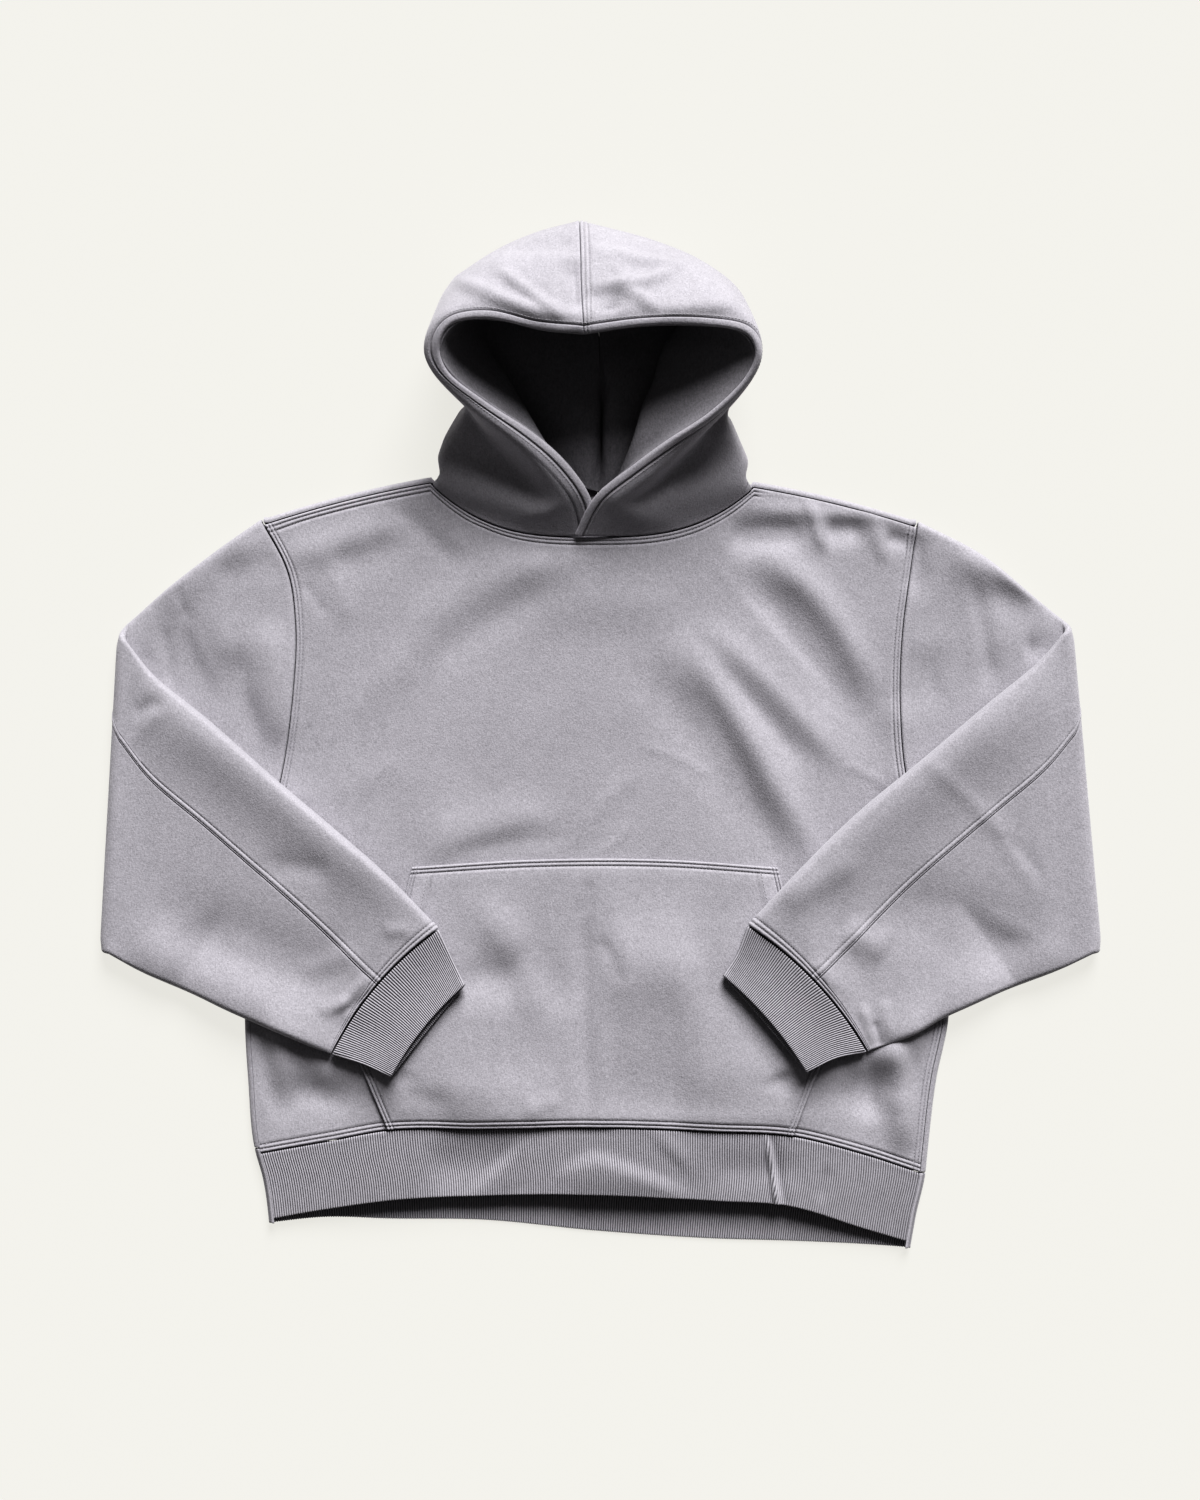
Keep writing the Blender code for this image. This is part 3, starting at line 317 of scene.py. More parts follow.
LARGE_FOLDS = fold_table(
    ("chest right ridge", 62, 86, 178, -90, 10, 4.2, 20),
    ("chest right trough", 36, 62, 150, -112, 8, -2.8, 20),
    ("side right trough", 140, 140, 254, -30, 14, -3, 20),
    ("side right ridge", 150, 80, 250, -60, 8, 3, 20),
    ("under neck ridge", -27, 160, -170, 92, -12, 3, 20),
    ("under neck trough", -27, 130, -160, 58, -12, -2.4, 20),
    ("chest left ridge", -165, -96, -50, -66, 0, 3, 20),
    ("shoulder left trough", -150, 205, -250, 150, 10, -2.2, 20),
    ("hem left trough", -250, -330, -215, -250, 0, -3, 22),
    ("hem right trough", 225, -340, 262, -262, 0, -3, 22),
    ("pocket left trough", -90, -195, -30, -250, 4, -3.2, 26),
    ("pocket right trough", 60, -170, 150, -300, 12, -3, 26),
    ("sleeve left pinch", -378, 108, -322, -6, -8, -2.4, 18),
    ("sleeve left ridge", -350, 130, -305, 20, -8, 2.4, 18),
    ("sleeve right ridge", 326, 155, 350, 60, 5, 3, 18),
    ("sleeve right trough", 345, 130, 396, 110, 0, -2.4, 18),
)

UNDER_ARM_FOLDS = fold_table(
    ("under left forearm", -318, -258, -176, -312, 0, 6, 20),
    ("under right forearm", 318, -256, 176, -308, 0, 6, 20),
)

CREASES = seen_folds(
    FRONT_NEARNESS,
    ("chest right ridge line", 688, 640, 820, 868, 4, 3.8, 13),
    ("chest right shaded side", 705, 690, 783, 872, 2, -1.2, 10),
    ("chest second ridge", 705, 625, 845, 768, 4, 4.2, 12),
    ("chest third ridge", 768, 555, 870, 695, 15, 5.4, 14),
    ("collar to armpit line", 708, 558, 842, 708, -2, 0.9, 3.5),
    ("armpit line", 845, 763, 890, 788, 1, 0.8, 3.5),
    ("curved chest crease", 640, 746, 714, 780, 5, 0.8, 3.5),
    ("above pocket line", 603, 854, 634, 822, 0, 0.9, 4.5),
    ("above pocket arc", 566, 850, 645, 768, 6, 0.8, 9),
    ("shoulder right hollow", 728, 535, 806, 535, 0, -7.5, 13),
    ("shoulder right lip", 740, 507, 900, 521, 0, 1.8, 7),
    ("shoulder right first rib", 808, 498, 824, 552, 0, 3.6, 5),
    ("shoulder right second rib", 866, 503, 886, 562, 0, 2.6, 6),
    ("under neck left band", 560, 553, 338, 724, -7, 1.2, 16),
    ("neck left hollow", 392, 503, 462, 566, 0, -2, 10),
    ("shoulder left line", 303, 582, 327, 617, 0, -1, 4.5),
    ("shoulder left swell", 322, 545, 352, 625, 0, 1.2, 9),
    ("chest left low ridge", 398, 872, 565, 812, 9, 0.8, 10),
    ("chest left low trough", 455, 852, 575, 838, 3, -0.8, 8),
    ("side left swell", 330, 800, 400, 760, 0, 1, 14),
    ("sleeve left hollow", 236, 650, 240, 745, 0, -5.5, 13),
    ("sleeve left hollow ridge", 270, 625, 276, 745, 0, 5.2, 15),
    ("sleeve left line", 183, 600, 248, 758, -3, 1.4, 5),
    ("sleeve left nick", 178, 588, 191, 624, -2, -2, 4.5),
    ("sleeve left short line", 162, 628, 169, 684, 0, -2.6, 5),
    ("sleeve left corner hollow", 130, 640, 150, 668, 0, -2.4, 6),
    ("sleeve left swell", 150, 600, 140, 660, 0, 1.6, 9),
    ("sleeve left top hollow", 215, 575, 280, 560, 0, -2.6, 11),
    ("sleeve right shoulder ridge", 950, 554, 1054, 598, 2, 5.5, 13),
    ("sleeve right top swell", 935, 520, 1068, 588, 4, 4, 30),
    ("sleeve right seam hollow", 916, 535, 917, 592, 0, -5, 10),
    ("sleeve right line", 972, 577, 991, 690, 3, -3.4, 8),
    ("sleeve right low hollow", 930, 662, 936, 708, 0, -2, 7),
    ("sleeve right swell", 908, 646, 955, 640, 0, 1.4, 9),
    ("sleeve right fold hollow", 1025, 650, 1060, 646, 0, -5, 10),
    ("low right ridge", 893, 1030, 912, 1150, 0, 7, 15),
    ("low right swell", 905, 1090, 915, 1150, 0, 2.4, 20),
    ("low right thin ridge", 915, 1025, 929, 1090, 0, 2, 5),
    ("low right inner trough", 866, 1048, 872, 1120, 0, -4, 10),
    ("low left trough", 300, 1030, 308, 1105, 0, -6.5, 16),
    ("low left side trough", 262, 1035, 270, 1110, 0, -4, 9),
    ("low left cross trough", 262, 1112, 350, 1098, 0, -3, 14),
    ("cuff right hollow", 728, 1002, 800, 1088, -6, -5, 15),
    ("cuff left hollow", 395, 1085, 462, 1002, -4, -2.6, 11),
    ("under collar swell", 520, 604, 680, 604, 0, 2.6, 24),
    ("waistband middle lift", 560, 1170, 690, 1172, 0, 5.6, 26),
    ("waistband pleat", 766, 1136, 778, 1212, 0, 3.4, 2.3),
    ("waistband pleat shade", 773, 1136, 786, 1212, 0, -2, 4),
    ("waistband left hollow", 425, 1166, 525, 1162, 0, -4.4, 22),
    ("waistband right hollow", 712, 1168, 804, 1172, 0, -2.2, 14),
    ("waistband right nick", 828, 1168, 820, 1200, 0, -1.2, 6),
    ("shoulder left rise", 285, 560, 415, 520, 0, 3, 13),
    ("side right hollow", 745, 575, 850, 725, 4, -3.4, 14),
    ("armhole right swell", 906, 700, 903, 795, 0, 4.5, 20),
    ("shoulder right second hollow", 824, 531, 862, 530, 0, -5.5, 11),
    ("shoulder right third hollow", 886, 537, 908, 542, 0, -4, 8),
    ("sleeve left top ridge", 140, 598, 262, 528, 0, 6, 28),
    ("chest second hollow", 715, 665, 805, 765, 0, -2.2, 9),
    ("sleeve left fold hollow", 150, 668, 300, 786, 0, -5, 38),
    ("side right counter", 767, 646, 879, 802, 9, -2.4, 20),
    ("low right shade ridge", 850, 1062, 905, 1052, 0, 5, 18),
    ("low left shade ridge", 262, 1062, 345, 1078, 0, 4.5, 18),
)

POCKET_CREASES = seen_folds(
    POCKET_NEARNESS,
    ("middle valley", 583, 900, 585, 1112, 0, -3.6, 10),
    ("diagonal ridge", 480, 898, 552, 1030, 3, 4, 18),
    ("left hollow", 470, 965, 520, 985, 0, -2.8, 20),
    ("small crease", 588, 880, 582, 915, 3, -0.9, 4.5),
    ("right of middle line", 600, 940, 620, 985, 4, -1.4, 7),
    ("right swell", 712, 925, 718, 1108, 0, 5, 42),
    ("low left hollow", 402, 1092, 450, 1104, 0, -1.2, 10),
    ("low ridge by waistband", 392, 1124, 792, 1126, 4, 2.2, 9),
    ("low middle swell", 525, 1112, 562, 1098, 0, 1.4, 8),
    ("left swell", 452, 985, 446, 1112, 0, 5, 46),
    ("right plane top", 605, 965, 700, 965, 0, 6.5, 40),
    ("right plane low", 605, 1092, 695, 1092, 0, -3.4, 36),
    ("low left plane", 440, 1104, 555, 1104, 0, 3.6, 28),
)

FOREARM_CREASES = seen_folds(
    FOREARM_NEARNESS,
    ("left fold pinch", 128, 716, 162, 700, 0, -2.6, 7),
    ("left pinch ridge", 112, 758, 166, 706, 0, 1.4, 6),
    ("left upper hollow", 262, 868, 330, 872, 3, -2, 12),
    ("left low hollow", 150, 920, 352, 994, 0, -6.5, 30),
    ("left lower edge swell", 106, 942, 335, 1040, 0, 8, 36),
    ("left cuff ridge", 300, 975, 356, 952, 0, 2, 10),
    ("left first pucker", 332, 1014, 369, 977, 0, 2.4, 4),
    ("left second pucker", 345, 1012, 376, 990, 0, -1.8, 4),
    ("left third pucker", 318, 1012, 350, 1000, 0, 1.6, 6),
    ("left top pucker", 382, 930, 412, 930, 0, 1.4, 6),
    ("right middle ridge", 915, 752, 1010, 848, 5, 1.4, 6),
    ("right middle line", 985, 800, 1035, 888, 0, 1.2, 7),
    ("right line", 1000, 835, 1045, 885, 5, -1.2, 5),
    ("right low hollow", 884, 905, 1044, 952, 0, -6, 30),
    ("right lower edge swell", 880, 1035, 1096, 952, 0, 4, 26),
    ("right cuff swell", 842, 930, 888, 952, 0, 3.6, 14),
    ("right top swell", 780, 905, 860, 860, 0, 2, 12),
    ("right first pucker", 874, 1022, 880, 1048, 0, -2.4, 4),
    ("right second pucker", 862, 1005, 874, 1044, 0, 2.2, 4.5),
    ("right third pucker", 884, 1000, 890, 1040, 0, 1.6, 6),
    ("right cuff line", 812, 960, 838, 990, 0, 1.2, 6),
    ("left top ridge", 146, 684, 420, 900, 0, 9, 34),
    ("right top ridge", 1046, 684, 765, 898, 0, 8, 34),
)

CROWN_CREASES = seen_folds(
    CROWN_NEARNESS,
    ("left upper line", 498, 268, 566, 318, -2, 5, 5),
    ("left lower line", 455, 280, 556, 318, -2, 5, 6),
    ("left top hollow", 505, 252, 575, 244, 3, -3.2, 8),
    ("left seam hollow", 572, 262, 577, 312, 0, -7, 9),
    ("right upper line", 590, 246, 687, 266, -4, 3.6, 5),
    ("right slant line", 594, 250, 632, 286, 2, 2.4, 6),
    ("right curved line", 606, 284, 676, 268, -7, 5, 5),
    ("right lobe edge", 612, 286, 656, 309, 3, 4.6, 5),
    ("right seam hollow", 594, 286, 612, 314, 0, -7.5, 9),
    ("right rim swell", 655, 312, 740, 304, 0, 2.4, 7),
    ("middle pinch", 572, 326, 592, 318, 0, 1.6, 5),
)


def fold_height(x: Array, y: Array, folds: Sequence[Fold]) -> Array:
    """Sum of the soft ridges and troughs of a table of folds.

    Args:
        x: places across the garment.
        y: places along it.
        folds: the folds, each fading in and out over a share of its length.

    Returns:
        The height that they add at each place.
    """
    total = np.zeros(np.broadcast(x, y).shape)
    for fold in folds:
        start = np.array(fold.start, float)
        along = np.array(fold.end, float) - start
        length = np.hypot(*along)
        along /= length
        share = ((x - start[0]) * along[0] + (y - start[1]) * along[1]) / length
        off = (y - start[1]) * along[0] - (x - start[0]) * along[1]
        off = off - fold.bend * 4 * share * (1 - share)
        ends = smoothstep((np.minimum(share, 1 - share) + FOLD_LEAD) / FOLD_FADE)
        total += fold.height * ends * np.exp(-((off / fold.half_width) ** 2))
    return total


# ---- plan and heights ---------------------------------------------------------------------


@dataclass(frozen=True)
class Neck:
    """Neckline of the body, where the hood is sewn on."""

    middle: float = -7.0
    half: float = 145.0
    front_y: float = 177.0
    back_y: float = 210.0
    point_y: tuple[float, float] = (226.0, 222.0)
    curve: float = 3.0
    turn: float = 12.0
    point_lift: float = 1.8
    rise: float = 6.0
    rise_spread: Point = (80.0, 45.0)

    def share(self, x: Array) -> Array:
        """0 in the middle of the neckline and 1 at its two points."""
        return np.clip(np.abs((x - self.middle) / self.half), 0.0, 1.0) ** self.curve

    def point_height(self, x: Array) -> Array:
        """How far up the garment the nearer neck point lies."""
        return np.where(x < self.middle, *self.point_y)

    def back(self, x: Array) -> Array:
        """The back neckline."""
        return self.back_y + (self.point_height(x) - self.back_y) * self.share(x)

    def shoulder_share(self, x: Array) -> Array:
        """1 along the shoulders and 0 along the back neck, changing beside the neck point."""
        inside = self.half - np.abs(x - self.middle)
        return 1 - np.clip(inside / self.turn, 0.0, 1.0)


@dataclass(frozen=True)
class Outline:
    """Plan of the body: its sides, hem, shoulders and the fold line of each sleeve."""

    neck: Neck = Neck()
    shoulder_end: tuple[Point, Point] = ((-303.0, 188.0), (285.0, 186.0))
    shoulder_bow: float = 3.0
    armpit_y: float = -112.0
    armpit_turn: float = 60.0
    band_height: float = 69.0
    # Height on the body, left edge, right edge
    sides: tuple[Point3, ...] = (
        (-458.0, -296.0, 279.0),
        (-430.0, -298.0, 284.0),
        (-395.0, -303.5, 292.0),
        (-376.0, -309.0, 294.0),
        (-309.0, -316.0, 302.0),
        (-254.0, -319.0, 313.0),
        (-184.0, -316.0, 310.0),
        (-117.0, -307.0, 299.0),
        (-47.0, -288.0, 276.0),
        (40.0, -275.0, 269.0),
        (100.0, -273.0, 272.0),
        (150.0, -281.0, 279.0),
        (192.0, -303.0, 285.0),
    )
    # Place across, seam over the front band, lower edge of the front band and of the back band
    hem: tuple[tuple[float, float, float, float], ...] = (
        (-309.0, -376.0, -437.0, -440.0),
        (-245.0, -364.0, -425.0, -433.5),
        (-191.0, -354.0, -417.0, -435.0),
        (-107.0, -352.5, -412.5, -436.0),
        (-3.0, -351.5, -411.5, -446.0),
        (103.0, -355.0, -417.0, -453.0),
        (171.0, -359.0, -422.0, -455.0),
        (238.0, -376.0, -443.0, -458.0),
        (294.0, -395.0, -460.0, -462.0),
    )
    # Upper and lower end of the line over which each sleeve turns
    creases: tuple[tuple[Point, Point], ...] = (
        ((-424.5, 92.0), (-439.5, -194.0)), ((416.0, 96.0), (441.0, -194.0))
    )

    def edge(self, side: Side, y: Array) -> Array:
        """The body's side or armhole at height y."""
        index = 1 if side is Side.LEFT else 2
        return spline(column(self.sides, 0), column(self.sides, index), y)

    def hem_line(self, kind: str, x: Array) -> Array:
        """The hem's seam or one of its lower edges at x."""
        index = {"seam": 1, "front": 2, "back": 3}[kind]
        return spline(column(self.hem, 0), column(self.hem, index), x)

    def front_top(self, x: Array) -> Array:
        """Upper edge of the front: shoulder seams and front neckline.

        Args:
            x: places across.

        Returns:
            The edge's height on the body at each place.
        """
        neck = self.neck
        top = neck.front_y + (neck.point_height(x) - neck.front_y) * neck.share(x)
        for side, point_y, end in zip(Side, neck.point_y, self.shoulder_end):
            neck_x = neck.middle + side.sign * neck.half
            share = (x - neck_x) / (end[0] - neck_x)
            bow = self.shoulder_bow * 4 * share * (1 - share)
            top = np.where(share > 0, point_y + (end[1] - point_y) * share + bow, top)
        return top

    def armhole_share(self, y: Array) -> Array:
        """0 beside the side seam and 1 along the armhole."""
        return np.clip((y - self.armpit_y) / self.armpit_turn, 0.0, 1.0)

    def crease_line(self, side: Side, y: Array) -> Array:
        """Where the line over which a sleeve turns lies at height y.

        Args:
            side: the sleeve's side.
            y: places along.

        Returns:
            The line's place across.
        """
        top, bottom = self.creases[0 if side is Side.LEFT else 1]
        share = np.clip((y - bottom[1]) / (top[1] - bottom[1]), 0.0, 1.0)
        return bottom[0] + (top[0] - bottom[0]) * share


@dataclass(frozen=True)
class Layers:
    """Heights of the layers that lie on each other."""

    plan: Outline = Outline()
    middle_run: Point = (4.0, 110.0)
    edge_fade: float = 30.0
    crease_run: float = 45.0
    crease_loft: float = 5.0
    # Height on the body, middle of the front over the floor
    rises: tuple[Point, ...] = (
        (-460.0, 17.0),
        (-360.0, 15.0),
        (-250.0, 13.5),
        (-100.0, 12.5),
        (100.0, 12.0),
        (170.0, 10.5),
        (230.0, ROLL_TOP),
    )
    # Height on the body, left edge and right edge of the pocket
    pocket_edges: tuple[Point3, ...] = (
        (-352.0, -190.0, 173.0),
        (-310.0, -207.0, 189.0),
        (-250.0, -226.0, 208.0),
        (-184.0, -188.0, 177.0),
        (-117.0, -168.0, 159.0),
    )
    pocket_top: tuple[Point, ...] = ((-168.0, -118.0), (-60.0, -111.5), (60.0, -111.5), (159.0, -118.5))
    pocket_lift: float = CLOTH + 3 * LAYER_GAP
    pocket_step: Point = (6.0, 40.0)
    seam_press: Point = (1.8, 22.0)
    drape_start: float = 10.0
    arm_fade: Point = (2.0, 14.0)
    # Upper and lower edge of each forearm where it lies on the garment
    forearm_edges: tuple[tuple[tuple[Point, Point], tuple[Point, Point]], ...] = (
        (((-424.0, 84.0), (-144.0, -172.0)), ((-400.0, -216.0), (-240.0, -284.0))),
        (((416.0, 92.0), (132.0, -169.0)), ((400.0, -214.0), (239.0, -282.0))),
    )

    def upper(self, x: Array, y: Array, creases: Sequence[Fold] = CREASES) -> Array:
        """Middle of the upper layer of the body and of the upper arms, over the floor.

        Args:
            x: places across.
            y: places along.
            creases: the small folds to add to the large ones.

        Returns:
            The height at each place.
        """
        plan, neck = self.plan, self.plan.neck
        rise = spline(column(self.rises, 0), column(self.rises, 1), y)
        inside = np.minimum(x - plan.edge(Side.LEFT, y), plan.edge(Side.RIGHT, y) - x)
        height = ROLL_TOP + (rise - ROLL_TOP) * smoothstep(
            (inside - self.middle_run[0]) / self.middle_run[1]
        )
        neck_x = (x - neck.middle) / neck.rise_spread[0]
        neck_y = (y - neck.front_y) / neck.rise_spread[1]
        height = height + neck.rise * np.exp(-(neck_x**2) - neck_y**2)
        from_ends = np.minimum(plan.front_top(x) - y, y - plan.hem_line("seam", x))
        by_side = smoothstep((inside - self.middle_run[0]) / self.edge_fade)
        sides = np.where(y < plan.armpit_y + plan.armpit_turn, by_side, 1.0)
        height = height + fold_height(x, y, LARGE_FOLDS) * smoothstep(from_ends / self.edge_fade) * sides
        height = height + fold_height(x, y, UNDER_ARM_FOLDS) * sides
        height = height + fold_height(x, y, creases) * sides * self.beside_arms(x, y)
        height = at_least(height, LEAST_UPPER)
        to_crease = np.minimum(x - plan.crease_line(Side.LEFT, y), plan.crease_line(Side.RIGHT, y) - x)
        low = FLOOR + self.crease_loft
        return low + (height - low) * smoothstep(to_crease / self.crease_run)

    def beside_arms(self, x: Array, y: Array) -> Array:
        """1 where the garment shows and 0 under the forearms.

        Args:
            x: places across.
            y: places along.

        Returns:
            A share for each place.
        """
        share = np.ones(np.broadcast(x, y).shape)
        for side, (top, bottom) in zip(Side, self.forearm_edges):
            inside = np.full(share.shape, np.inf)
            for sign, (start, end) in ((1, top), (-1, bottom)):
                start, along = np.array(start), np.subtract(end, start)
                along = along / np.hypot(*along)
                off = (x - start[0]) * along[1] - (y - start[1]) * along[0]
                inside = np.minimum(inside, off * sign * -side.sign)
            share = share * (1 - smoothstep((inside - self.arm_fade[0]) / self.arm_fade[1]))
        return share

    def front(self, x: Array, y: Array) -> Array:
        """Middle of the front, pressed down under the pocket's hollows and its lower seam.

        Args:
            x: places across.
            y: places along.

        Returns:
            The height at each place.
        """
        pressed = np.minimum(fold_height(x, y, POCKET_CREASES), 0.0)
        depth, reach = self.seam_press
        from_seam = y - self.plan.hem_line("seam", x)
        pressed = pressed - depth * (1 - smoothstep(from_seam / reach))
        cover = self.pocket_rise(x, y) / self.pocket_lift
        return at_least(self.upper(x, y) + pressed * cover, LEAST_UPPER)

    def pocket_rise(self, x: Array, y: Array) -> Array:
        """What the pocket adds to the front's height, fading outside its edges.

        Args:
            x: places across.
            y: places along.

        Returns:
            The added height at each place.
        """
        heights = column(self.pocket_edges, 0)
        left = spline(heights, column(self.pocket_edges, 1), y)
        right = spline(heights, column(self.pocket_edges, 2), y)
        outside = np.maximum(np.maximum(left - x, x - right), y - self.pocket_top[1][1])
        return self.pocket_lift * (1 - smoothstep((outside - self.pocket_step[0]) / self.pocket_step[1]))

    def forearm_floor(
        self, side: Side, armpit: Point, elbow: Point, x: Array, y: Array, run: float = 42.0
    ) -> Array:
        """Middle of a forearm's lower layer over the arm, the front and the pocket.

        Args:
            side: the sleeve's side.
            armpit: lower end of its armhole.
            elbow: lower end of the line over which it turns.
            x: places across.
            y: places along.
            run: the length over which it comes down to the floor.

        Returns:
            The height at each place, down to the floor past what it lies on.
        """
        outside_body = (x - self.plan.edge(side, y)) * side.sign
        start, end = np.array(armpit), np.array(elbow)
        along = (end - start) / np.hypot(*(end - start))
        below_arm = ((x - start[0]) * along[1] - (y - start[1]) * along[0]) * side.sign
        outside = np.minimum(outside_body, below_arm)
        cover = self.upper(x, y, ()) + self.pocket_rise(x, y) + CLOTH + SLEEVE_GAP
        return FLOOR + (cover - FLOOR) * (1 - smoothstep((outside - self.drape_start) / run))


LAYERS = Layers()
PLAN = LAYERS.plan
NECK = PLAN.neck


def roll_arc(rolled: Array, step: float, flat_length: float) -> tuple[Array, Array]:
    """How far out and up a strip reaches at a share of its length.

    Args:
        rolled: 1 where it is a half circle, 0 where it lies flat.
        step: the share of its length.
        flat_length: its length where it lies flat.

    Returns:
        The distances out and up.
    """
    angle = pi * np.maximum(rolled, NEARLY_FLAT)
    radius = (ROLL * rolled + flat_length * (1 - rolled) / pi) / np.maximum(rolled, NEARLY_FLAT)
    return radius * np.sin(angle * step), radius * (1 - np.cos(angle * step))


def roll_sides(middle: Array) -> Array:
    """Adds the columns that roll half round at the side folds and lie flat by the armholes.

    Args:
        middle: the panel's flat grid.

    Returns:
        The grid with the rolled columns on both its sides.
    """
    left, right = [], []
    for step in np.linspace(0.0, 1.0, ROLL_STEPS + 1)[1:]:
        for sign, edge, found in ((-1, 0, left), (1, -1, right)):
            line = middle[:, edge].copy()
            rolled = 1 - PLAN.armhole_share(line[:, 1])
            out, up = roll_arc(rolled, step, ROLL + CLOTH / 2)
            line[:, 0] += sign * out
            line[:, 2] += up
            found.append(line[:, None])
    return np.hstack(left[::-1] + [middle] + right)


def panel_plan(
    across: Array, up: Array, low_line: Callable[[Array], Array],
    high_line: Callable[[Array], Array], inset: Callable[[Array], Array],
) -> tuple[Array, Array]:
    """Plan of a body panel between a low and a high line and the body's two edges.

    Args:
        across: column shares from 0 to 1.
        up: row shares from 0 to 1.
        low_line: the panel's lower edge over x.
        high_line: its upper edge over x.
        inset: how far inside the body's edge it ends over y.

    Returns:
        The x and the y of its points.
    """
    rows = up[:, None]
    low_x = high_x = np.interp(across, (0, 1), (PLAN.hem[0][0], PLAN.hem[-1][0]))
    for _ in range(PLAN_PASSES):
        y = low_line(low_x) + (high_line(high_x) - low_line(low_x)) * rows
        left = PLAN.edge(Side.LEFT, y) + inset(y)
        right = PLAN.edge(Side.RIGHT, y) - inset(y)
        x = left + (right - left) * across
        low_x, high_x = x[0], x[-1]
    return x, y


# ---- walls --------------------------------------------------------------------------------


def mean_directions(points: Array) -> Array:
    """Directions along the columns of a grid, each the mean of those on its two sides."""
    steps = unit(np.diff(points, axis=1))
    return np.hstack((steps[:, :1], steps)) + np.hstack((steps, steps[:, -1:]))


def grid_normals(points: Array, ring: bool) -> Array:
    """Outward directions of a grid, whose columns close into a ring where ring is true.

    Args:
        points: the grid.
        ring: whether its columns close.

    Returns:
        A direction for each point.
    """
    if ring:
        across = unit(np.roll(points, -1, axis=1) - points)
        across = across + np.roll(across, 1, axis=1)
    else:
        across = mean_directions(points)
    along = np.swapaxes(mean_directions(np.swapaxes(points, 0, 1)), 0, 1)
    return unit(np.cross(across, along))


# The axes that a panel's edges end square to, and those of a strip with a free lower edge
ALL_SQUARE = {Edge.LOW: Y_AXIS, Edge.HIGH: Y_AXIS, Edge.START: X_AXIS, Edge.END: X_AXIS}
BAND_SQUARE = {edge: axis for edge, axis in ALL_SQUARE.items() if edge is not Edge.LOW}


def add_object(name: str, data: bpy.types.ID) -> bpy.types.Object:
    """Puts an object in the scene.

    Args:
        name: its name.
        data: its mesh, curve, light or camera.

    Returns:
        The object.
    """
    obj = bpy.data.objects.new(name, data)
    bpy.context.scene.collection.objects.link(obj)
    return obj


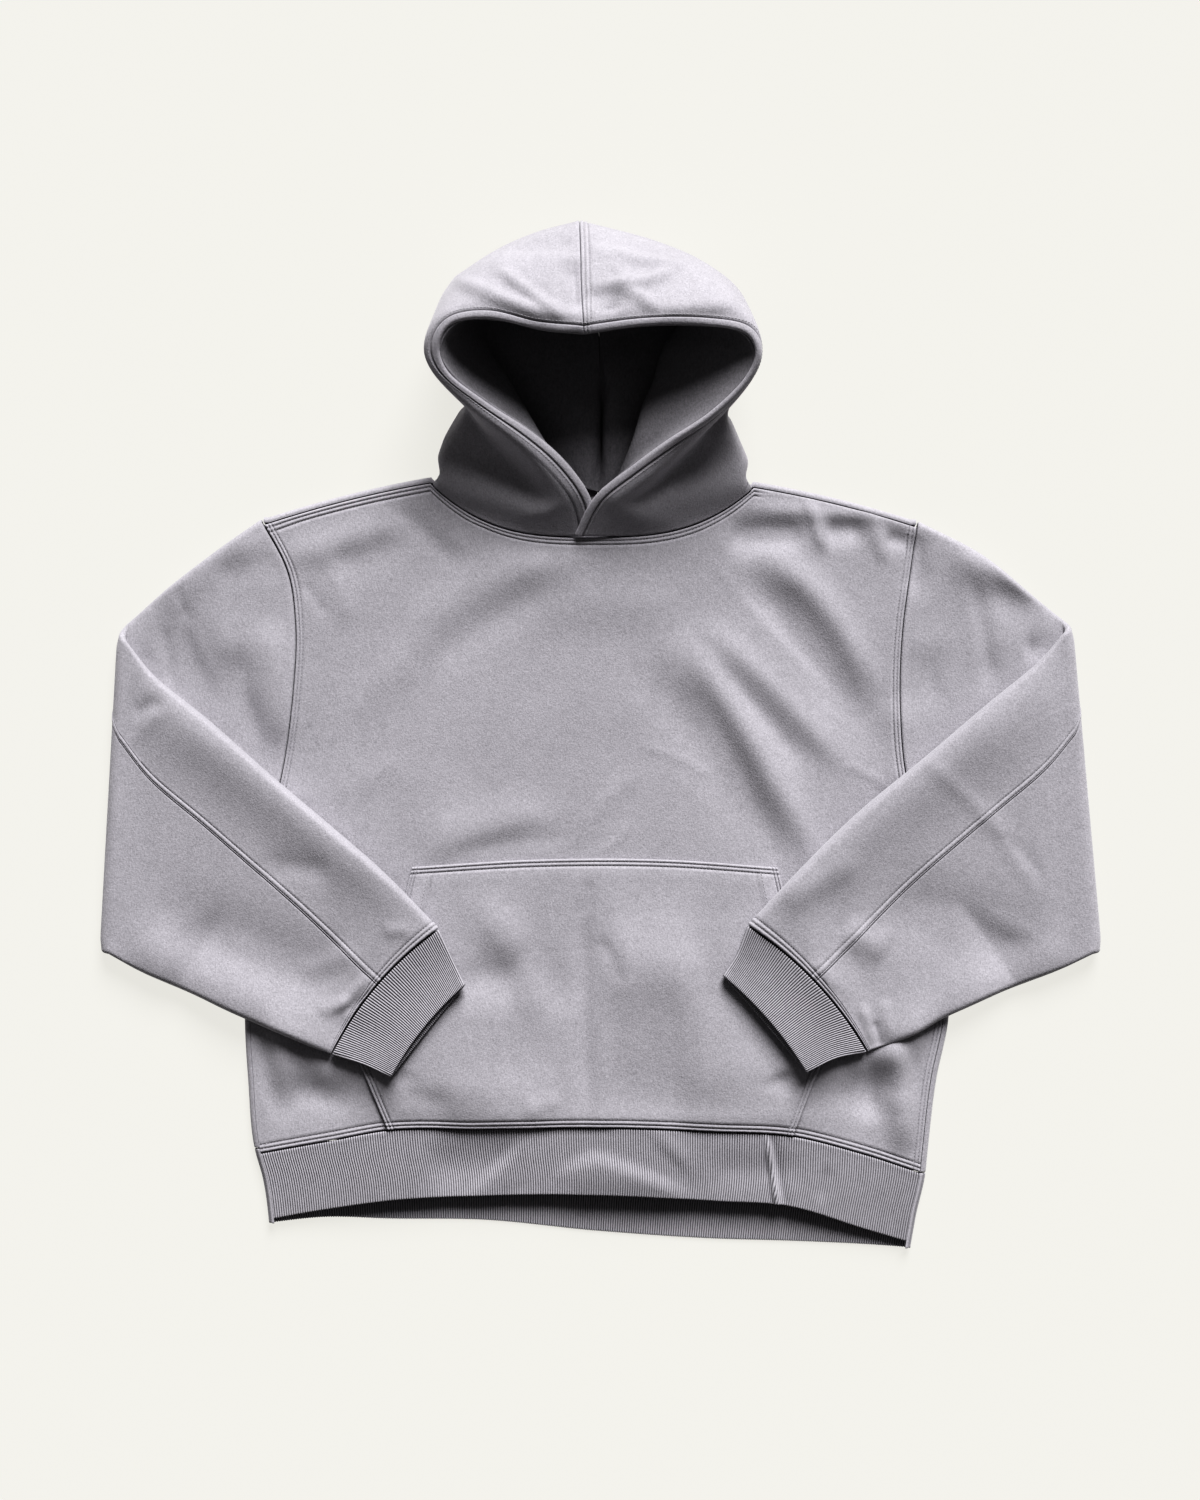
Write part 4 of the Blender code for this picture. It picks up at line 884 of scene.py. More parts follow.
@dataclass
class Wall:
    """A closed wall of cloth round a grid of points in its middle.

    Attributes:
        name: the piece's name.
        middle: the grid, anticlockwise as seen from outside.
        edges: how its seamed or open edges are finished, on grids that are crowded there.
        square: for each edge that meets another piece, the axis that it ends square to.
        blunt: edges that keep their thickness, where a seam lies flush.
        ring: whether its columns close into a tube.
        relief: more height of the outer face.
        marks: named numbers on its points, as one grid for the outer and one for the inner face.
    """

    name: str
    middle: Array
    edges: dict[Edge, EdgeFinish] = field(default_factory=dict)
    square: dict[Edge, Array] = field(default_factory=dict)
    blunt: Sequence[Edge] = ()
    ring: bool = False
    relief: Array | None = None
    marks: dict[str, tuple[Array, Array]] = field(default_factory=dict)
    outer: Array = field(init=False)

    def edge_relief(self) -> Array:
        """Relief of the outer face beside the finished edges.

        Returns:
            A height for each point of the grid.
        """
        rows, columns = self.middle.shape[:2]
        total = np.zeros((rows, columns))
        for edge, finish in self.edges.items():
            profile = np.array(finish.value)
            lines = total if edge in (Edge.LOW, Edge.HIGH) else total.T
            lines = lines[::-1] if edge in (Edge.HIGH, Edge.END) else lines
            lines[: len(profile)] += profile[:, None]
        return np.maximum(total, min(EdgeFinish.STITCHED.value))

    def total_relief(self) -> Array:
        """Relief of the outer face: its seams and what the piece adds."""
        total = self.edge_relief()
        return total if self.relief is None else total + self.relief

    def taper(self) -> Array:
        """Thins the wall towards its edges, which rounds them.

        Returns:
            A share of the thickness for each point.
        """
        rows, columns = self.middle.shape[:2]
        by_row, by_column = np.ones(rows), np.ones(columns)
        count = len(EDGE_TAPER)
        by_row[:count], by_row[-count:] = EDGE_TAPER, EDGE_TAPER[::-1]
        if not self.ring and Edge.START not in self.blunt:
            by_column[:count] = EDGE_TAPER
        if not self.ring and Edge.END not in self.blunt:
            by_column[-count:] = EDGE_TAPER[::-1]
        return np.minimum(by_row[:, None], by_column)

    def faces(self) -> Array:
        """Quads of the two faces and of the edges between them, as point numbers.

        Returns:
            Four point numbers for each quad.
        """
        rows, columns = self.middle.shape[:2]
        outer = np.arange(rows * columns).reshape(rows, columns)
        if self.ring:
            outer = np.hstack((outer, outer[:, :1]))
            lines = [outer[0], outer[-1][::-1]]
        else:
            lines = [outer[0], outer[:, -1], outer[-1][::-1], outer[:, 0][::-1]]
        corners = (outer[:-1, :-1], outer[:-1, 1:], outer[1:, 1:], outer[1:, :-1])
        quads = np.stack(corners, -1).reshape(-1, 4)
        count = rows * columns
        closing = [
            np.column_stack((line[1:], line[:-1], line[:-1] + count, line[1:] + count)) for line in lines
        ]
        return np.vstack([quads, (quads + count)[:, ::-1], *closing])

    def build(self) -> bpy.types.Object:
        """Makes the wall's mesh object, in metres and in its place.

        Returns:
            The object.
        """
        normals = grid_normals(self.middle, self.ring)
        for edge, axis in self.square.items():
            axis = np.asarray(axis, float) / np.linalg.norm(axis)
            kept = normals[edge.place] - (normals[edge.place] @ axis)[:, None] * axis
            normals[edge.place] = unit(kept)
        half = CLOTH / 2 * self.taper()
        self.outer = self.middle + normals * (half + self.total_relief())[..., None]
        inner = self.middle - normals * half[..., None]
        points = np.vstack((self.outer.reshape(-1, 3), inner.reshape(-1, 3)))
        points = (points - np.array((*CENTRE, 0.0))) * MM
        mesh = bpy.data.meshes.new(self.name)
        mesh.from_pydata(points.tolist(), [], self.faces().tolist())
        # Painted shade in the grooves and a painted highlight on the raised strips, from the outer face's
        # relief; none on the inner face
        painted_shading = np.clip(PAINTED_SHADING * self.total_relief(), *PAINTED_SHADING_RANGE)
        self.marks["painted_shading"] = (painted_shading, np.zeros_like(painted_shading))
        for name, grids in self.marks.items():
            mark = mesh.attributes.new(name, "FLOAT", "POINT")
            values = np.concatenate([grid.reshape(-1) for grid in grids])
            mark.data.foreach_set("value", values.astype(np.float32))
        mesh.shade_smooth()
        mesh.set_sharp_from_angle(angle=radians(SHARP_ANGLE))
        return add_object(self.name, mesh)

    def row_line(self, index: int, span: slice = slice(None)) -> Array:
        """A line of points on the outer face along one row, closed on a tube."""
        line = self.outer[index, span]
        return np.vstack((line, line[:1])) if self.ring and span == slice(None) else line

    def column_line(self, index: int, span: slice = slice(None)) -> Array:
        """A line of points on the outer face along one column."""
        return self.outer[span, index]


# ---- node trees ---------------------------------------------------------------------------


class Nodes:
    """Adds nodes to a tree and joins their sockets."""

    def __init__(self, tree: bpy.types.NodeTree) -> None:
        """Takes the tree to fill."""
        self.tree = tree

    def add(self, kind: str, *inputs: object, **settings: object) -> bpy.types.Node:
        """Adds a node.

        Args:
            kind: the node's type.
            inputs: a value or a socket for each input in turn, or None to leave it.
            settings: the node's own settings.

        Returns:
            The node.
        """
        node = self.tree.nodes.new(kind)
        for name, value in settings.items():
            setattr(node, name, value)
        for socket, value in zip(node.inputs, inputs):
            self.fill(socket, value)
        return node

    def fill(self, socket: bpy.types.NodeSocket, value: object) -> None:
        """Joins an input to a socket, or sets it to a value, or leaves it at None.

        Args:
            socket: the input.
            value: a socket, a value or None.
        """
        if isinstance(value, bpy.types.NodeSocket):
            self.tree.links.new(value, socket)
        elif value is not None:
            socket.default_value = value

    def maths(self, operation: str, *inputs: object) -> bpy.types.NodeSocket:
        """Adds a Math node and gives its result."""
        return self.add("ShaderNodeMath", *inputs, operation=operation).outputs[0]

    def join(self, source: bpy.types.NodeSocket, target: bpy.types.NodeSocket) -> None:
        """Joins two sockets."""
        self.tree.links.new(source, target)


def new_socket(
    tree: bpy.types.NodeTree, name: str, kind: str, way: str
) -> bpy.types.NodeTreeInterfaceSocket:
    """Adds a named input or output to a tree."""
    return tree.interface.new_socket(name, in_out=way, socket_type=f"NodeSocket{kind}")


@dataclass
class GeometryTree:
    """A Geometry Nodes tree with named inputs, whose results become plain meshes."""

    name: str
    tree: bpy.types.NodeTree = field(init=False)
    nodes: Nodes = field(init=False)
    sockets: dict[str, str] = field(default_factory=dict)
    start: bpy.types.Node = field(init=False)

    def open(self, **kinds: str) -> bpy.types.NodeOutputs:
        """Starts the tree.

        Args:
            kinds: the kind of each named input besides the geometry and the material.

        Returns:
            The sockets that give the inputs inside the tree.
        """
        self.tree = bpy.data.node_groups.new(self.name, "GeometryNodeTree")
        self.nodes = Nodes(self.tree)
        for name, kind in {"Geometry": "Geometry", "Material": "Material", **kinds}.items():
            self.sockets[name] = new_socket(self.tree, name, kind, "INPUT").identifier
        new_socket(self.tree, "Geometry", "Geometry", "OUTPUT")
        self.start = self.nodes.add("NodeGroupInput")
        return self.start.outputs

    def close(self, geometry: bpy.types.NodeSocket) -> None:
        """Ends the tree in Realize Instances and Set Material.

        Args:
            geometry: what the tree has made.
        """
        real = self.nodes.add("GeometryNodeRealizeInstances", geometry)
        painted = self.nodes.add("GeometryNodeSetMaterial", real.outputs[0])
        self.nodes.join(self.start.outputs["Material"], painted.inputs["Material"])
        self.nodes.add("NodeGroupOutput", painted.outputs[0])

    def run(self, obj: bpy.types.Object, name: str, **values: object) -> bpy.types.Object:
        """Runs the tree on an object and makes a plain mesh of the result.

        Args:
            obj: the object that it starts from, which is removed.
            name: the new piece's name.
            values: the named inputs.

        Returns:
            The new piece.
        """
        modifier = obj.modifiers.new(self.name, "NODES")
        modifier.node_group = self.tree
        for key, value in values.items():
            modifier[self.sockets[key.capitalize()]] = value
        bpy.context.view_layer.update()
        graph = bpy.context.evaluated_depsgraph_get()
        mesh = bpy.data.meshes.new_from_object(obj.evaluated_get(graph), depsgraph=graph)
        mesh.name = name
        bpy.data.objects.remove(obj)
        return add_object(name, mesh)


class RibKnit(GeometryTree):
    """Draws rounded ribs across a band, from how far along it each point lies, and paints shade into
    their grooves.
    """

    roundness: float = 0.6

    def __init__(self) -> None:
        """Builds the tree."""
        super().__init__("rib_knit")
        given = self.open(Pitch="Float", Depth="Float", Shade="Float")
        nodes, ribbed = self.nodes, self.named("ribbed")
        across = nodes.maths("DIVIDE", self.named("place"), given["Pitch"])
        wave = nodes.maths("ABSOLUTE", nodes.maths("SINE", nodes.maths("MULTIPLY", across, pi)))
        crest = nodes.maths("SUBTRACT", nodes.maths("POWER", wave, self.roundness), 1.0)
        drop = nodes.maths("MULTIPLY", nodes.maths("MULTIPLY", crest, given["Depth"]), MM)
        drop, shade = (nodes.maths("MULTIPLY", value, ribbed) for value in (drop, crest))
        normal = nodes.add("GeometryNodeInputNormal").outputs[0]
        offset = nodes.add("ShaderNodeVectorMath", normal, operation="SCALE")
        nodes.join(drop, offset.inputs["Scale"])
        moved = nodes.add("GeometryNodeSetPosition", given["Geometry"])
        nodes.join(offset.outputs[0], moved.inputs["Offset"])
        # Painted shade: the colour darkens in the rib grooves, by the Shade share and the ribbed weight
        kept = nodes.add("GeometryNodeStoreNamedAttribute", data_type="FLOAT")
        kept.inputs["Name"].default_value = "painted_shading"
        nodes.join(moved.outputs[0], kept.inputs["Geometry"])
        nodes.join(nodes.maths("MULTIPLY", shade, given["Shade"]), kept.inputs["Value"])
        self.close(kept.outputs[0])

    def named(self, name: str) -> bpy.types.NodeSocket:
        """Reads one of the band's marks."""
        node = self.nodes.add("GeometryNodeInputNamedAttribute", name, data_type="FLOAT")
        return node.outputs["Attribute"]


class Stitches(GeometryTree):
    """Lays short rounded stitches along lines."""

    # Distance between stitches, their length and radius, and how far their lengths vary
    pitch: float = 3.0
    length: float = 2.3
    radius: float = 0.34
    spread: Point = (0.9, 1.1)
    seed: int = 7

    def __init__(self) -> None:
        """Builds the tree."""
        super().__init__("stitches")
        given = self.open(Pitch="Float", Length="Float", Radius="Float", Seed="Int")
        points = self.nodes.add("GeometryNodeCurveToPoints", given["Geometry"], mode="LENGTH")
        self.nodes.join(given["Pitch"], points.inputs["Length"])
        stitch = self.nodes.add("GeometryNodeMeshIcoSphere", 1.0, 1)
        turn = self.nodes.add("FunctionNodeAlignRotationToVector", axis="X")
        self.nodes.join(points.outputs["Tangent"], turn.inputs["Vector"])
        random = self.nodes.add("FunctionNodeRandomValue", data_type="FLOAT")
        sockets = [socket for socket in random.inputs if socket.type == "VALUE"]
        sockets[0].default_value, sockets[1].default_value = self.spread
        self.nodes.join(given["Seed"], random.inputs["Seed"])
        vary = next(socket for socket in random.outputs if socket.type == "VALUE")
        half = self.nodes.maths("MULTIPLY", given["Length"], 0.5)
        half, radius = self.nodes.maths("MULTIPLY", half, vary), given["Radius"]
        size = self.nodes.add("ShaderNodeCombineXYZ", half, radius, radius)
        placed = self.nodes.add("GeometryNodeInstanceOnPoints", points.outputs["Points"])
        self.nodes.join(stitch.outputs["Mesh"], placed.inputs["Instance"])
        self.nodes.join(turn.outputs[0], placed.inputs["Rotation"])
        self.nodes.join(size.outputs[0], placed.inputs["Scale"])
        self.close(placed.outputs[0])

    def sew(self, name: str, lines: Sequence[Array], thread: bpy.types.Material) -> bpy.types.Object:
        """Sews along lines of points.

        Args:
            name: the new piece's name.
            lines: lines of points on the outer faces.
            thread: the stitches' material.

        Returns:
            The stitches as one piece.
        """
        curve = bpy.data.curves.new(name, "CURVE")
        curve.dimensions = "3D"
        for line in lines:
            points = (line - np.array((*CENTRE, -STITCH_LIFT))) * MM
            path = curve.splines.new("POLY")
            path.points.add(len(points) - 1)
            weighted = np.column_stack((points, np.ones(len(points))))
            path.points.foreach_set("co", weighted.reshape(-1))
        sizes = {"pitch": self.pitch * MM, "length": self.length * MM, "radius": self.radius * MM}
        return self.run(add_object(name, curve), name, **sizes, seed=self.seed, material=thread)


# ---- finishes -----------------------------------------------------------------------------


class ClothFace:
    """Node group that gives a cloth's mottled colour with painted shading, roughness and grain height."""

    # Detail and roughness of the fibres, wales, nap and broad clouds
    fibre_noise: Point = (3.0, 0.65)
    wale_noise: Point = (1.0, 0.5)
    nap_noise: Point = (3.0, 0.6)
    broad_noise: Point = (2.0, 0.5)
    wale_stretch: Point3 = (1.0, 0.35, 1.0)
    wale_fineness: float = 1.3
    wale_height: float = 0.6
    nap_scale: float = 120.0
    nap_roughness: float = 0.1
    broad_scale: float = 16.0
    # Weights of the wales, the nap and the broad clouds beside that of the fibres
    shares: Point3 = (0.7, 0.35, 0.3)

    def __init__(self) -> None:
        """Builds the group."""
        self.tree = bpy.data.node_groups.new("cloth_face", "ShaderNodeTree")
        for name, kind in (("Vector", "Vector"), ("Colour", "Color")):
            new_socket(self.tree, name, kind, "INPUT")
        for name in ("Fibre size", "Mottle", "Painted shading", "Roughness"):
            new_socket(self.tree, name, "Float", "INPUT")
        for name, kind in (("Colour", "Color"), ("Roughness", "Float"), ("Height", "Float")):
            new_socket(self.tree, name, kind, "OUTPUT")
        nodes = Nodes(self.tree)
        given = nodes.add("NodeGroupInput").outputs
        vector = given["Vector"]
        fibre_scale = nodes.maths("DIVIDE", 1.0, given["Fibre size"])
        fibres = self.noise(nodes, vector, fibre_scale, *self.fibre_noise)
        squeeze = nodes.add("ShaderNodeVectorMath", vector, self.wale_stretch, operation="MULTIPLY")
        wale_scale = nodes.maths("MULTIPLY", fibre_scale, self.wale_fineness)
        wales = self.noise(nodes, squeeze.outputs[0], wale_scale, *self.wale_noise)
        nap = self.noise(nodes, vector, self.nap_scale, *self.nap_noise)
        broad = self.noise(nodes, vector, self.broad_scale, *self.broad_noise)
        total = fibres
        for part, share in zip((wales, nap, broad), self.shares):
            total = nodes.maths("MULTIPLY_ADD", part, share, total)
        lighter = nodes.maths("MULTIPLY_ADD", total, given["Mottle"], 1.0)
        # Painted shade and highlight from the pieces' relief, added to the colour's scale
        lighter = nodes.maths("ADD", lighter, given["Painted shading"])
        colour = nodes.add("ShaderNodeVectorMath", given["Colour"], operation="SCALE")
        nodes.join(lighter, colour.inputs["Scale"])
        rough = nodes.maths("MULTIPLY_ADD", nap, self.nap_roughness, given["Roughness"])
        height = nodes.maths("MULTIPLY_ADD", wales, self.wale_height, fibres)
        nodes.add("NodeGroupOutput", colour.outputs[0], rough, height)

    @staticmethod
    def noise(
        nodes: Nodes, vector: bpy.types.NodeSocket, scale: float | bpy.types.NodeSocket,
        detail: float, roughness: float,
    ) -> bpy.types.NodeSocket:
        """Adds a noise that runs from about -0.5 to 0.5."""
        node = nodes.add("ShaderNodeTexNoise", vector, None, scale, detail, roughness)
        return nodes.maths("SUBTRACT", node.outputs[0], 0.5)


@dataclass(frozen=True)
class ClothFinish:
    """One cloth's finish. The fibre size and the grain's depth are in millimetres."""

    name: str
    colour: Point3
    roughness: float
    sheen: float
    fibre: float
    mottle: float
    grain: float
    specular: float = 0.2
    sheen_roughness: float = 0.6
    sheen_tint: tuple[float, float, float, float] = (0.9, 0.89, 0.92, 1.0)

    def build(self, face: ClothFace) -> bpy.types.Material:
        """Makes the material.

        Args:
            face: the node group that all cloths share.

        Returns:
            The material.
        """
        material = bpy.data.materials.new(self.name)
        material.use_nodes = True
        nodes = Nodes(material.node_tree)
        shader = material.node_tree.nodes["Principled BSDF"]
        place = nodes.add("ShaderNodeTexCoord").outputs["Object"]
        # The mark of painted shade in grooves and painted highlight on ridges, read into the colour
        painted_shading = nodes.add("ShaderNodeAttribute", attribute_name="painted_shading").outputs["Fac"]
        group = nodes.add("ShaderNodeGroup", node_tree=face.tree)
        bump = nodes.add("ShaderNodeBump")
        for socket, value in (
            (group.inputs["Vector"], place),
            (group.inputs["Colour"], (*self.colour, 1.0)),
            (group.inputs["Fibre size"], self.fibre * MM),
            (group.inputs["Mottle"], self.mottle),
            (group.inputs["Painted shading"], painted_shading),
            (group.inputs["Roughness"], self.roughness),
            (bump.inputs["Strength"], 1.0),
            (bump.inputs["Distance"], self.grain * MM),
            (bump.inputs["Height"], group.outputs["Height"]),
            (shader.inputs["Base Color"], group.outputs["Colour"]),
            (shader.inputs["Roughness"], group.outputs["Roughness"]),
            (shader.inputs["Normal"], bump.outputs["Normal"]),
            (shader.inputs["Specular IOR Level"], self.specular),
            (shader.inputs["Sheen Weight"], self.sheen),
            (shader.inputs["Sheen Roughness"], self.sheen_roughness),
            (shader.inputs["Sheen Tint"], self.sheen_tint),
        ):
            nodes.fill(socket, value)
        return material


# Name, colour, roughness, sheen, fibre size, mottle, depth of the grain
CLOTHS = {
    Slot.FLEECE: ClothFinish("brushed_fleece", (0.365, 0.353, 0.378), 0.86, 0.35, 1.5, 0.6, 0.35),
    # The lining is brushed cloth; its colour is set darker than the fleece's as painted shade inside the
    # hood
    Slot.LINING: ClothFinish("napped_lining", (0.25, 0.242, 0.258), 0.9, 0.1, 1.9, 0.6, 0.4),
    Slot.RIB: ClothFinish("rib_knit", (0.425, 0.412, 0.44), 0.84, 0.12, 1.2, 0.4, 0.2),
}
THREAD = ClothFinish("grey_thread", (0.42, 0.41, 0.43), 0.6, 0.1, 0.8, 0.1, 0.1)


@dataclass(frozen=True)
class Wardrobe:
    """The finishes and the node trees that all pieces share."""

    cloths: dict[Slot, bpy.types.Material]
    thread: bpy.types.Material
    ribs: RibKnit
    stitches: Stitches

    @classmethod
    def open(cls) -> "Wardrobe":
        """Builds the finishes and trees.

        Returns:
            The wardrobe.
        """
        face = ClothFace()
        cloths = {slot: finish.build(face) for slot, finish in CLOTHS.items()}
        return cls(cloths, THREAD.build(face), RibKnit(), Stitches())


@dataclass(frozen=True)
class Cut:
    """What a maker cuts for a piece: its rectangle and its area, in metres."""

    width: float
    length: float
    area: float


@dataclass(frozen=True)
class Rib:
    """Relief of a ribbed cloth: depth, share of shade in its grooves, height of its crests."""

    depth: float = 1.3
    shade: float = 0.85
    crest: float = 0.25


# ---- sub-assemblies -----------------------------------------------------------------------


@dataclass
class SubAssembly:
    """Pieces that are cut and sewn together."""

    wardrobe: Wardrobe

    def place(
        self, piece: bpy.types.Object, node: str, slot: Slot, cut: Cut, rests_on: Sequence[str],
        held: str = "laid", sewn: Sequence[bpy.types.Object] = (),
    ) -> None:
        """Gives a piece its material, hangs it and its stitches on the root and hides the CAD node that
        it replaces.

        Args:
            piece: the piece.
            node: the CAD node that it replaces.
            slot: the material slot.
            cut: the flat size of its cloth; not used.
            rests_on: what it lies on; not used.
            held: how it is held; not used.
            sewn: its stitches.
        """
        if not piece.data.materials:
            piece.data.materials.append(self.wardrobe.cloths[slot])
        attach(piece, "root")
        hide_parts(node)
        for stitches in sewn:
            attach(stitches, "root")
        list(rests_on)
        list(sewn)
        LOG.info("%s: %d faces", piece.name, len(piece.data.polygons))

    def sew(self, name: str, lines: Sequence[Array]) -> bpy.types.Object:
        """Sews along lines of points."""
        return self.wardrobe.stitches.sew(name, lines, self.wardrobe.thread)

    def knit(self, wall: Wall, name: str, rib: Rib) -> bpy.types.Object:
        """Builds a wall and draws its ribs, whose places are counted in ribs."""
        look = {"depth": rib.depth, "shade": rib.shade, "material": self.wardrobe.cloths[Slot.RIB]}
        return self.wardrobe.ribs.run(wall.build(), name, pitch=1.0, **look)


@dataclass
class Body(SubAssembly):
    """The back panel, which rolls round the side and shoulder folds, and the front panel."""

    step: float = 3.4
    back_step: float = 6.0
    front_cut: Cut = Cut(0.62, 0.6, 0.335)
    back_cut: Cut = Cut(0.68, 0.64, 0.36)

    def build(self) -> None:
        """Builds both panels."""
        self.build_front()
        self.build_back()

    @staticmethod
    def columns(step: float, inset: float, turns: Sequence[float] = (0.0,)) -> Array:
        """Column shares, with some at shares of the turn inside each neck point.

        Args:
            step: the even step between the seams.
            inset: how far inside the shoulder ends the panel ends.
            turns: shares of the turn at which it has a column.

        Returns:
            The shares, from 0 to 1.
        """
        start = PLAN.shoulder_end[0][0] + inset
        span = PLAN.shoulder_end[1][0] - inset - start
        halves = NECK.half - NECK.turn * np.array(turns)
        points = np.concatenate([NECK.middle + side.sign * halves for side in Side])
        return np.union1d(crowded(span, step) / span, (points - start) / span)

    def build_front(self) -> None:
        """Builds the front with its raised seams and stitches."""
        across = self.columns(self.step, ARMHOLE_SEAM / 2)
        height = float(PLAN.front_top(np.array(0.0)) - PLAN.hem_line("seam", np.array(0.0)))
        up = crowded(height, self.step) / height

        def inset(y: Array) -> Array:
            """How far inside the body's edge the front ends."""
            side = ROLL + CLOTH / 2 + SIDE_SEAM
            return side + (ARMHOLE_SEAM / 2 - side) * PLAN.armhole_share(y)

        x, y = panel_plan(
            across, up, lambda x: PLAN.hem_line("seam", x) + SEAM / 2,
            lambda x: PLAN.front_top(x) - SEAM / 2, inset,
        )
        wall = Wall(
            "front_panel", np.stack((x, y, LAYERS.front(x, y)), -1),
            edges=dict.fromkeys(Edge, EdgeFinish.STITCHED), relief=self.plain_stretches(x, y),
            blunt=(Edge.START,), square=ALL_SQUARE,
        )
        piece = wall.build()
        point = int(np.searchsorted(x[-1], NECK.middle + NECK.half))
        armhole = int(np.searchsorted(y[:, 0], PLAN.armpit_y + PLAN.armpit_turn / 2))
        lines = []
        for index in (FIRST_STITCHES, SECOND_STITCHES):
            inside = slice(index, -index)
            lines += [wall.row_line(index, inside), wall.column_line(-1 - index, inside)]
            lines.append(wall.row_line(-1 - index, slice(index, point)))
            lines.append(wall.column_line(index, slice(armhole, -index)))
        self.place(
            piece, "front", Slot.FLEECE, self.front_cut, ["back_panel"],
            sewn=[self.sew("front_stitches", lines)],
        )

    @staticmethod
    def plain_stretches(x: Array, y: Array) -> Array:
        """Takes the raised strip off the left side seam and off the right shoulder.

        Args:
            x: places across.
            y: places along.

        Returns:
            What to add to the relief.
        """
        flush = np.array(EdgeFinish.STITCHED.value)
        strip = flush - np.array(EdgeFinish.PLAIN.value)
        count = len(strip)
        relief = np.zeros(x.shape)
        relief[:, :count] -= flush * (1 - PLAN.armhole_share(y[:, :1]))
        shoulder = smoothstep((x[-1] - NECK.middle - NECK.half) / NECK.turn)
        relief[-count:] -= strip[::-1, None] * shoulder
        return relief

    def build_back(self) -> None:
        """Builds the back, flat on the floor."""
        by_arm = ROLL + CLOTH / 2 + ARMHOLE_SEAM / 2
        across = self.columns(self.back_step, by_arm, (0.0, 0.25, 0.5, 0.75, 1.0))
        height = NECK.back_y - PLAN.hem[4][3] - PLAN.band_height
        up = crowded(height, self.back_step) / height

        def inset(y: Array) -> Array:
            """How far inside the body's edge the back ends, under the front at the armholes."""
            (_, top_y), (_, low_y) = UPPER_ARM[Side.LEFT][0][:2]
            tucked = ARMHOLE_STEP * smoothstep(np.minimum(top_y - y, y - low_y) / ARMHOLE_TUCK)
            return ROLL + CLOTH / 2 + ARMHOLE_SEAM / 2 * PLAN.armhole_share(y) + tucked

        def high(x: Array) -> Array:
            """Where the back stops lying flat below the shoulders and the back neck."""
            rolled = NECK.shoulder_share(x)
            out, _ = roll_arc(rolled, 1.0, ROLL)
            top = np.where(rolled < 1, NECK.back(x), PLAN.front_top(x))
            return top - out + SEAM * (rolled - 1 / 2)

        x, y = panel_plan(
            across, up, lambda x: PLAN.hem_line("back", x) + PLAN.band_height + SEAM / 2, high, inset
        )
        rows = [np.stack((x, y, np.full_like(x, FLOOR)), -1)]
        for step in np.linspace(0.0, 1.0, ROLL_STEPS + 1)[1:]:
            out, up_by = roll_arc(NECK.shoulder_share(x[-1]), step, ROLL)
            rows.append(np.stack((x[-1], y[-1] + out, FLOOR + up_by), -1)[None])
        wall = Wall(
            "back_panel", roll_sides(np.vstack(rows))[:, ::-1], blunt=(Edge.START, Edge.END),
            square=ALL_SQUARE,
        )
        self.place(wall.build(), "back", Slot.FLEECE, self.back_cut, [])


@dataclass
class Pocket(SubAssembly):
    """The kangaroo pocket, whose points are the front's, moved out by one layer."""

    width: float = 400.0
    height: float = 236.0
    step: float = 2.6
    facing: float = 20.0
    facing_rise: float = 0.35
    groove: Point = (0.5, 1.6)
    opening_run: float = 12.0
    top_run: float = 8.0
    edge_drop: float = 1.3
    edge_run: float = 16.0
    cut: Cut = Cut(0.44, 0.25, 0.092)

    def build(self) -> None:
        """Builds the pocket with its facings and stitches."""
        across = crowded(self.width, self.step) / self.width
        up = crowded(self.height, self.step) / self.height
        table = LAYERS.pocket_edges
        heights = table[0][0] + (table[-1][0] - table[0][0]) * up
        left = spline(column(table, 0), column(table, 1), heights)[:, None]
        right = spline(column(table, 0), column(table, 2), heights)[:, None]
        x = left + (right - left) * across
        low = PLAN.hem_line("seam", x[0]) + SEAM / 2
        top = LAYERS.pocket_top
        high = spline(column(top, 0), column(top, 1), x[-1])
        y = low + (high - low) * up[:, None]
        inside = np.minimum.reduce((x - left, right - x, high - y, y - low))
        drop = self.edge_drop * (1 - smoothstep(inside / self.edge_run))
        z = LAYERS.front(x, y) + LAYERS.pocket_lift - drop
        z += np.maximum(fold_height(x, y, POCKET_CREASES), 0.0)
        # The openings start at the table's third row
        corner = table[2][0]
        opening = smoothstep((heights[:, None] - corner) / self.opening_run)
        from_edge = np.minimum(x - left, right - x)
        depth, half_width = self.groove
        facing = np.where(from_edge < self.facing, self.facing_rise, 0.0)
        facing -= depth * np.exp(-(((from_edge - self.facing) / half_width) ** 2))
        wall = Wall(
            "pocket_panel", np.stack((x, y, z), -1), edges=dict.fromkeys(Edge, EdgeFinish.STITCHED),
            relief=facing * opening * np.clip((high - y) / self.top_run, 0.0, 1.0),
        )
        piece = wall.build()
        side_seam = int(np.searchsorted(heights, corner))
        lines = []
        for index in (FIRST_STITCHES, SECOND_STITCHES):
            inner = slice(index, -index)
            lines += [wall.row_line(index, inner), wall.row_line(-1 - index, inner)]
            lower = slice(index, side_seam)
            lines += [wall.column_line(index, lower), wall.column_line(-1 - index, lower)]
        facing_column = int(np.argmin(np.abs(across * self.width - self.facing)))
        upper = slice(side_seam, -1 - SECOND_STITCHES)
        for index in (facing_column, -1 - facing_column):
            lines.append(wall.column_line(index, upper))
        self.place(
            piece, "pocket", Slot.FLEECE, self.cut, ["front_panel"],
            sewn=[self.sew("pocket_stitches", lines)],
        )


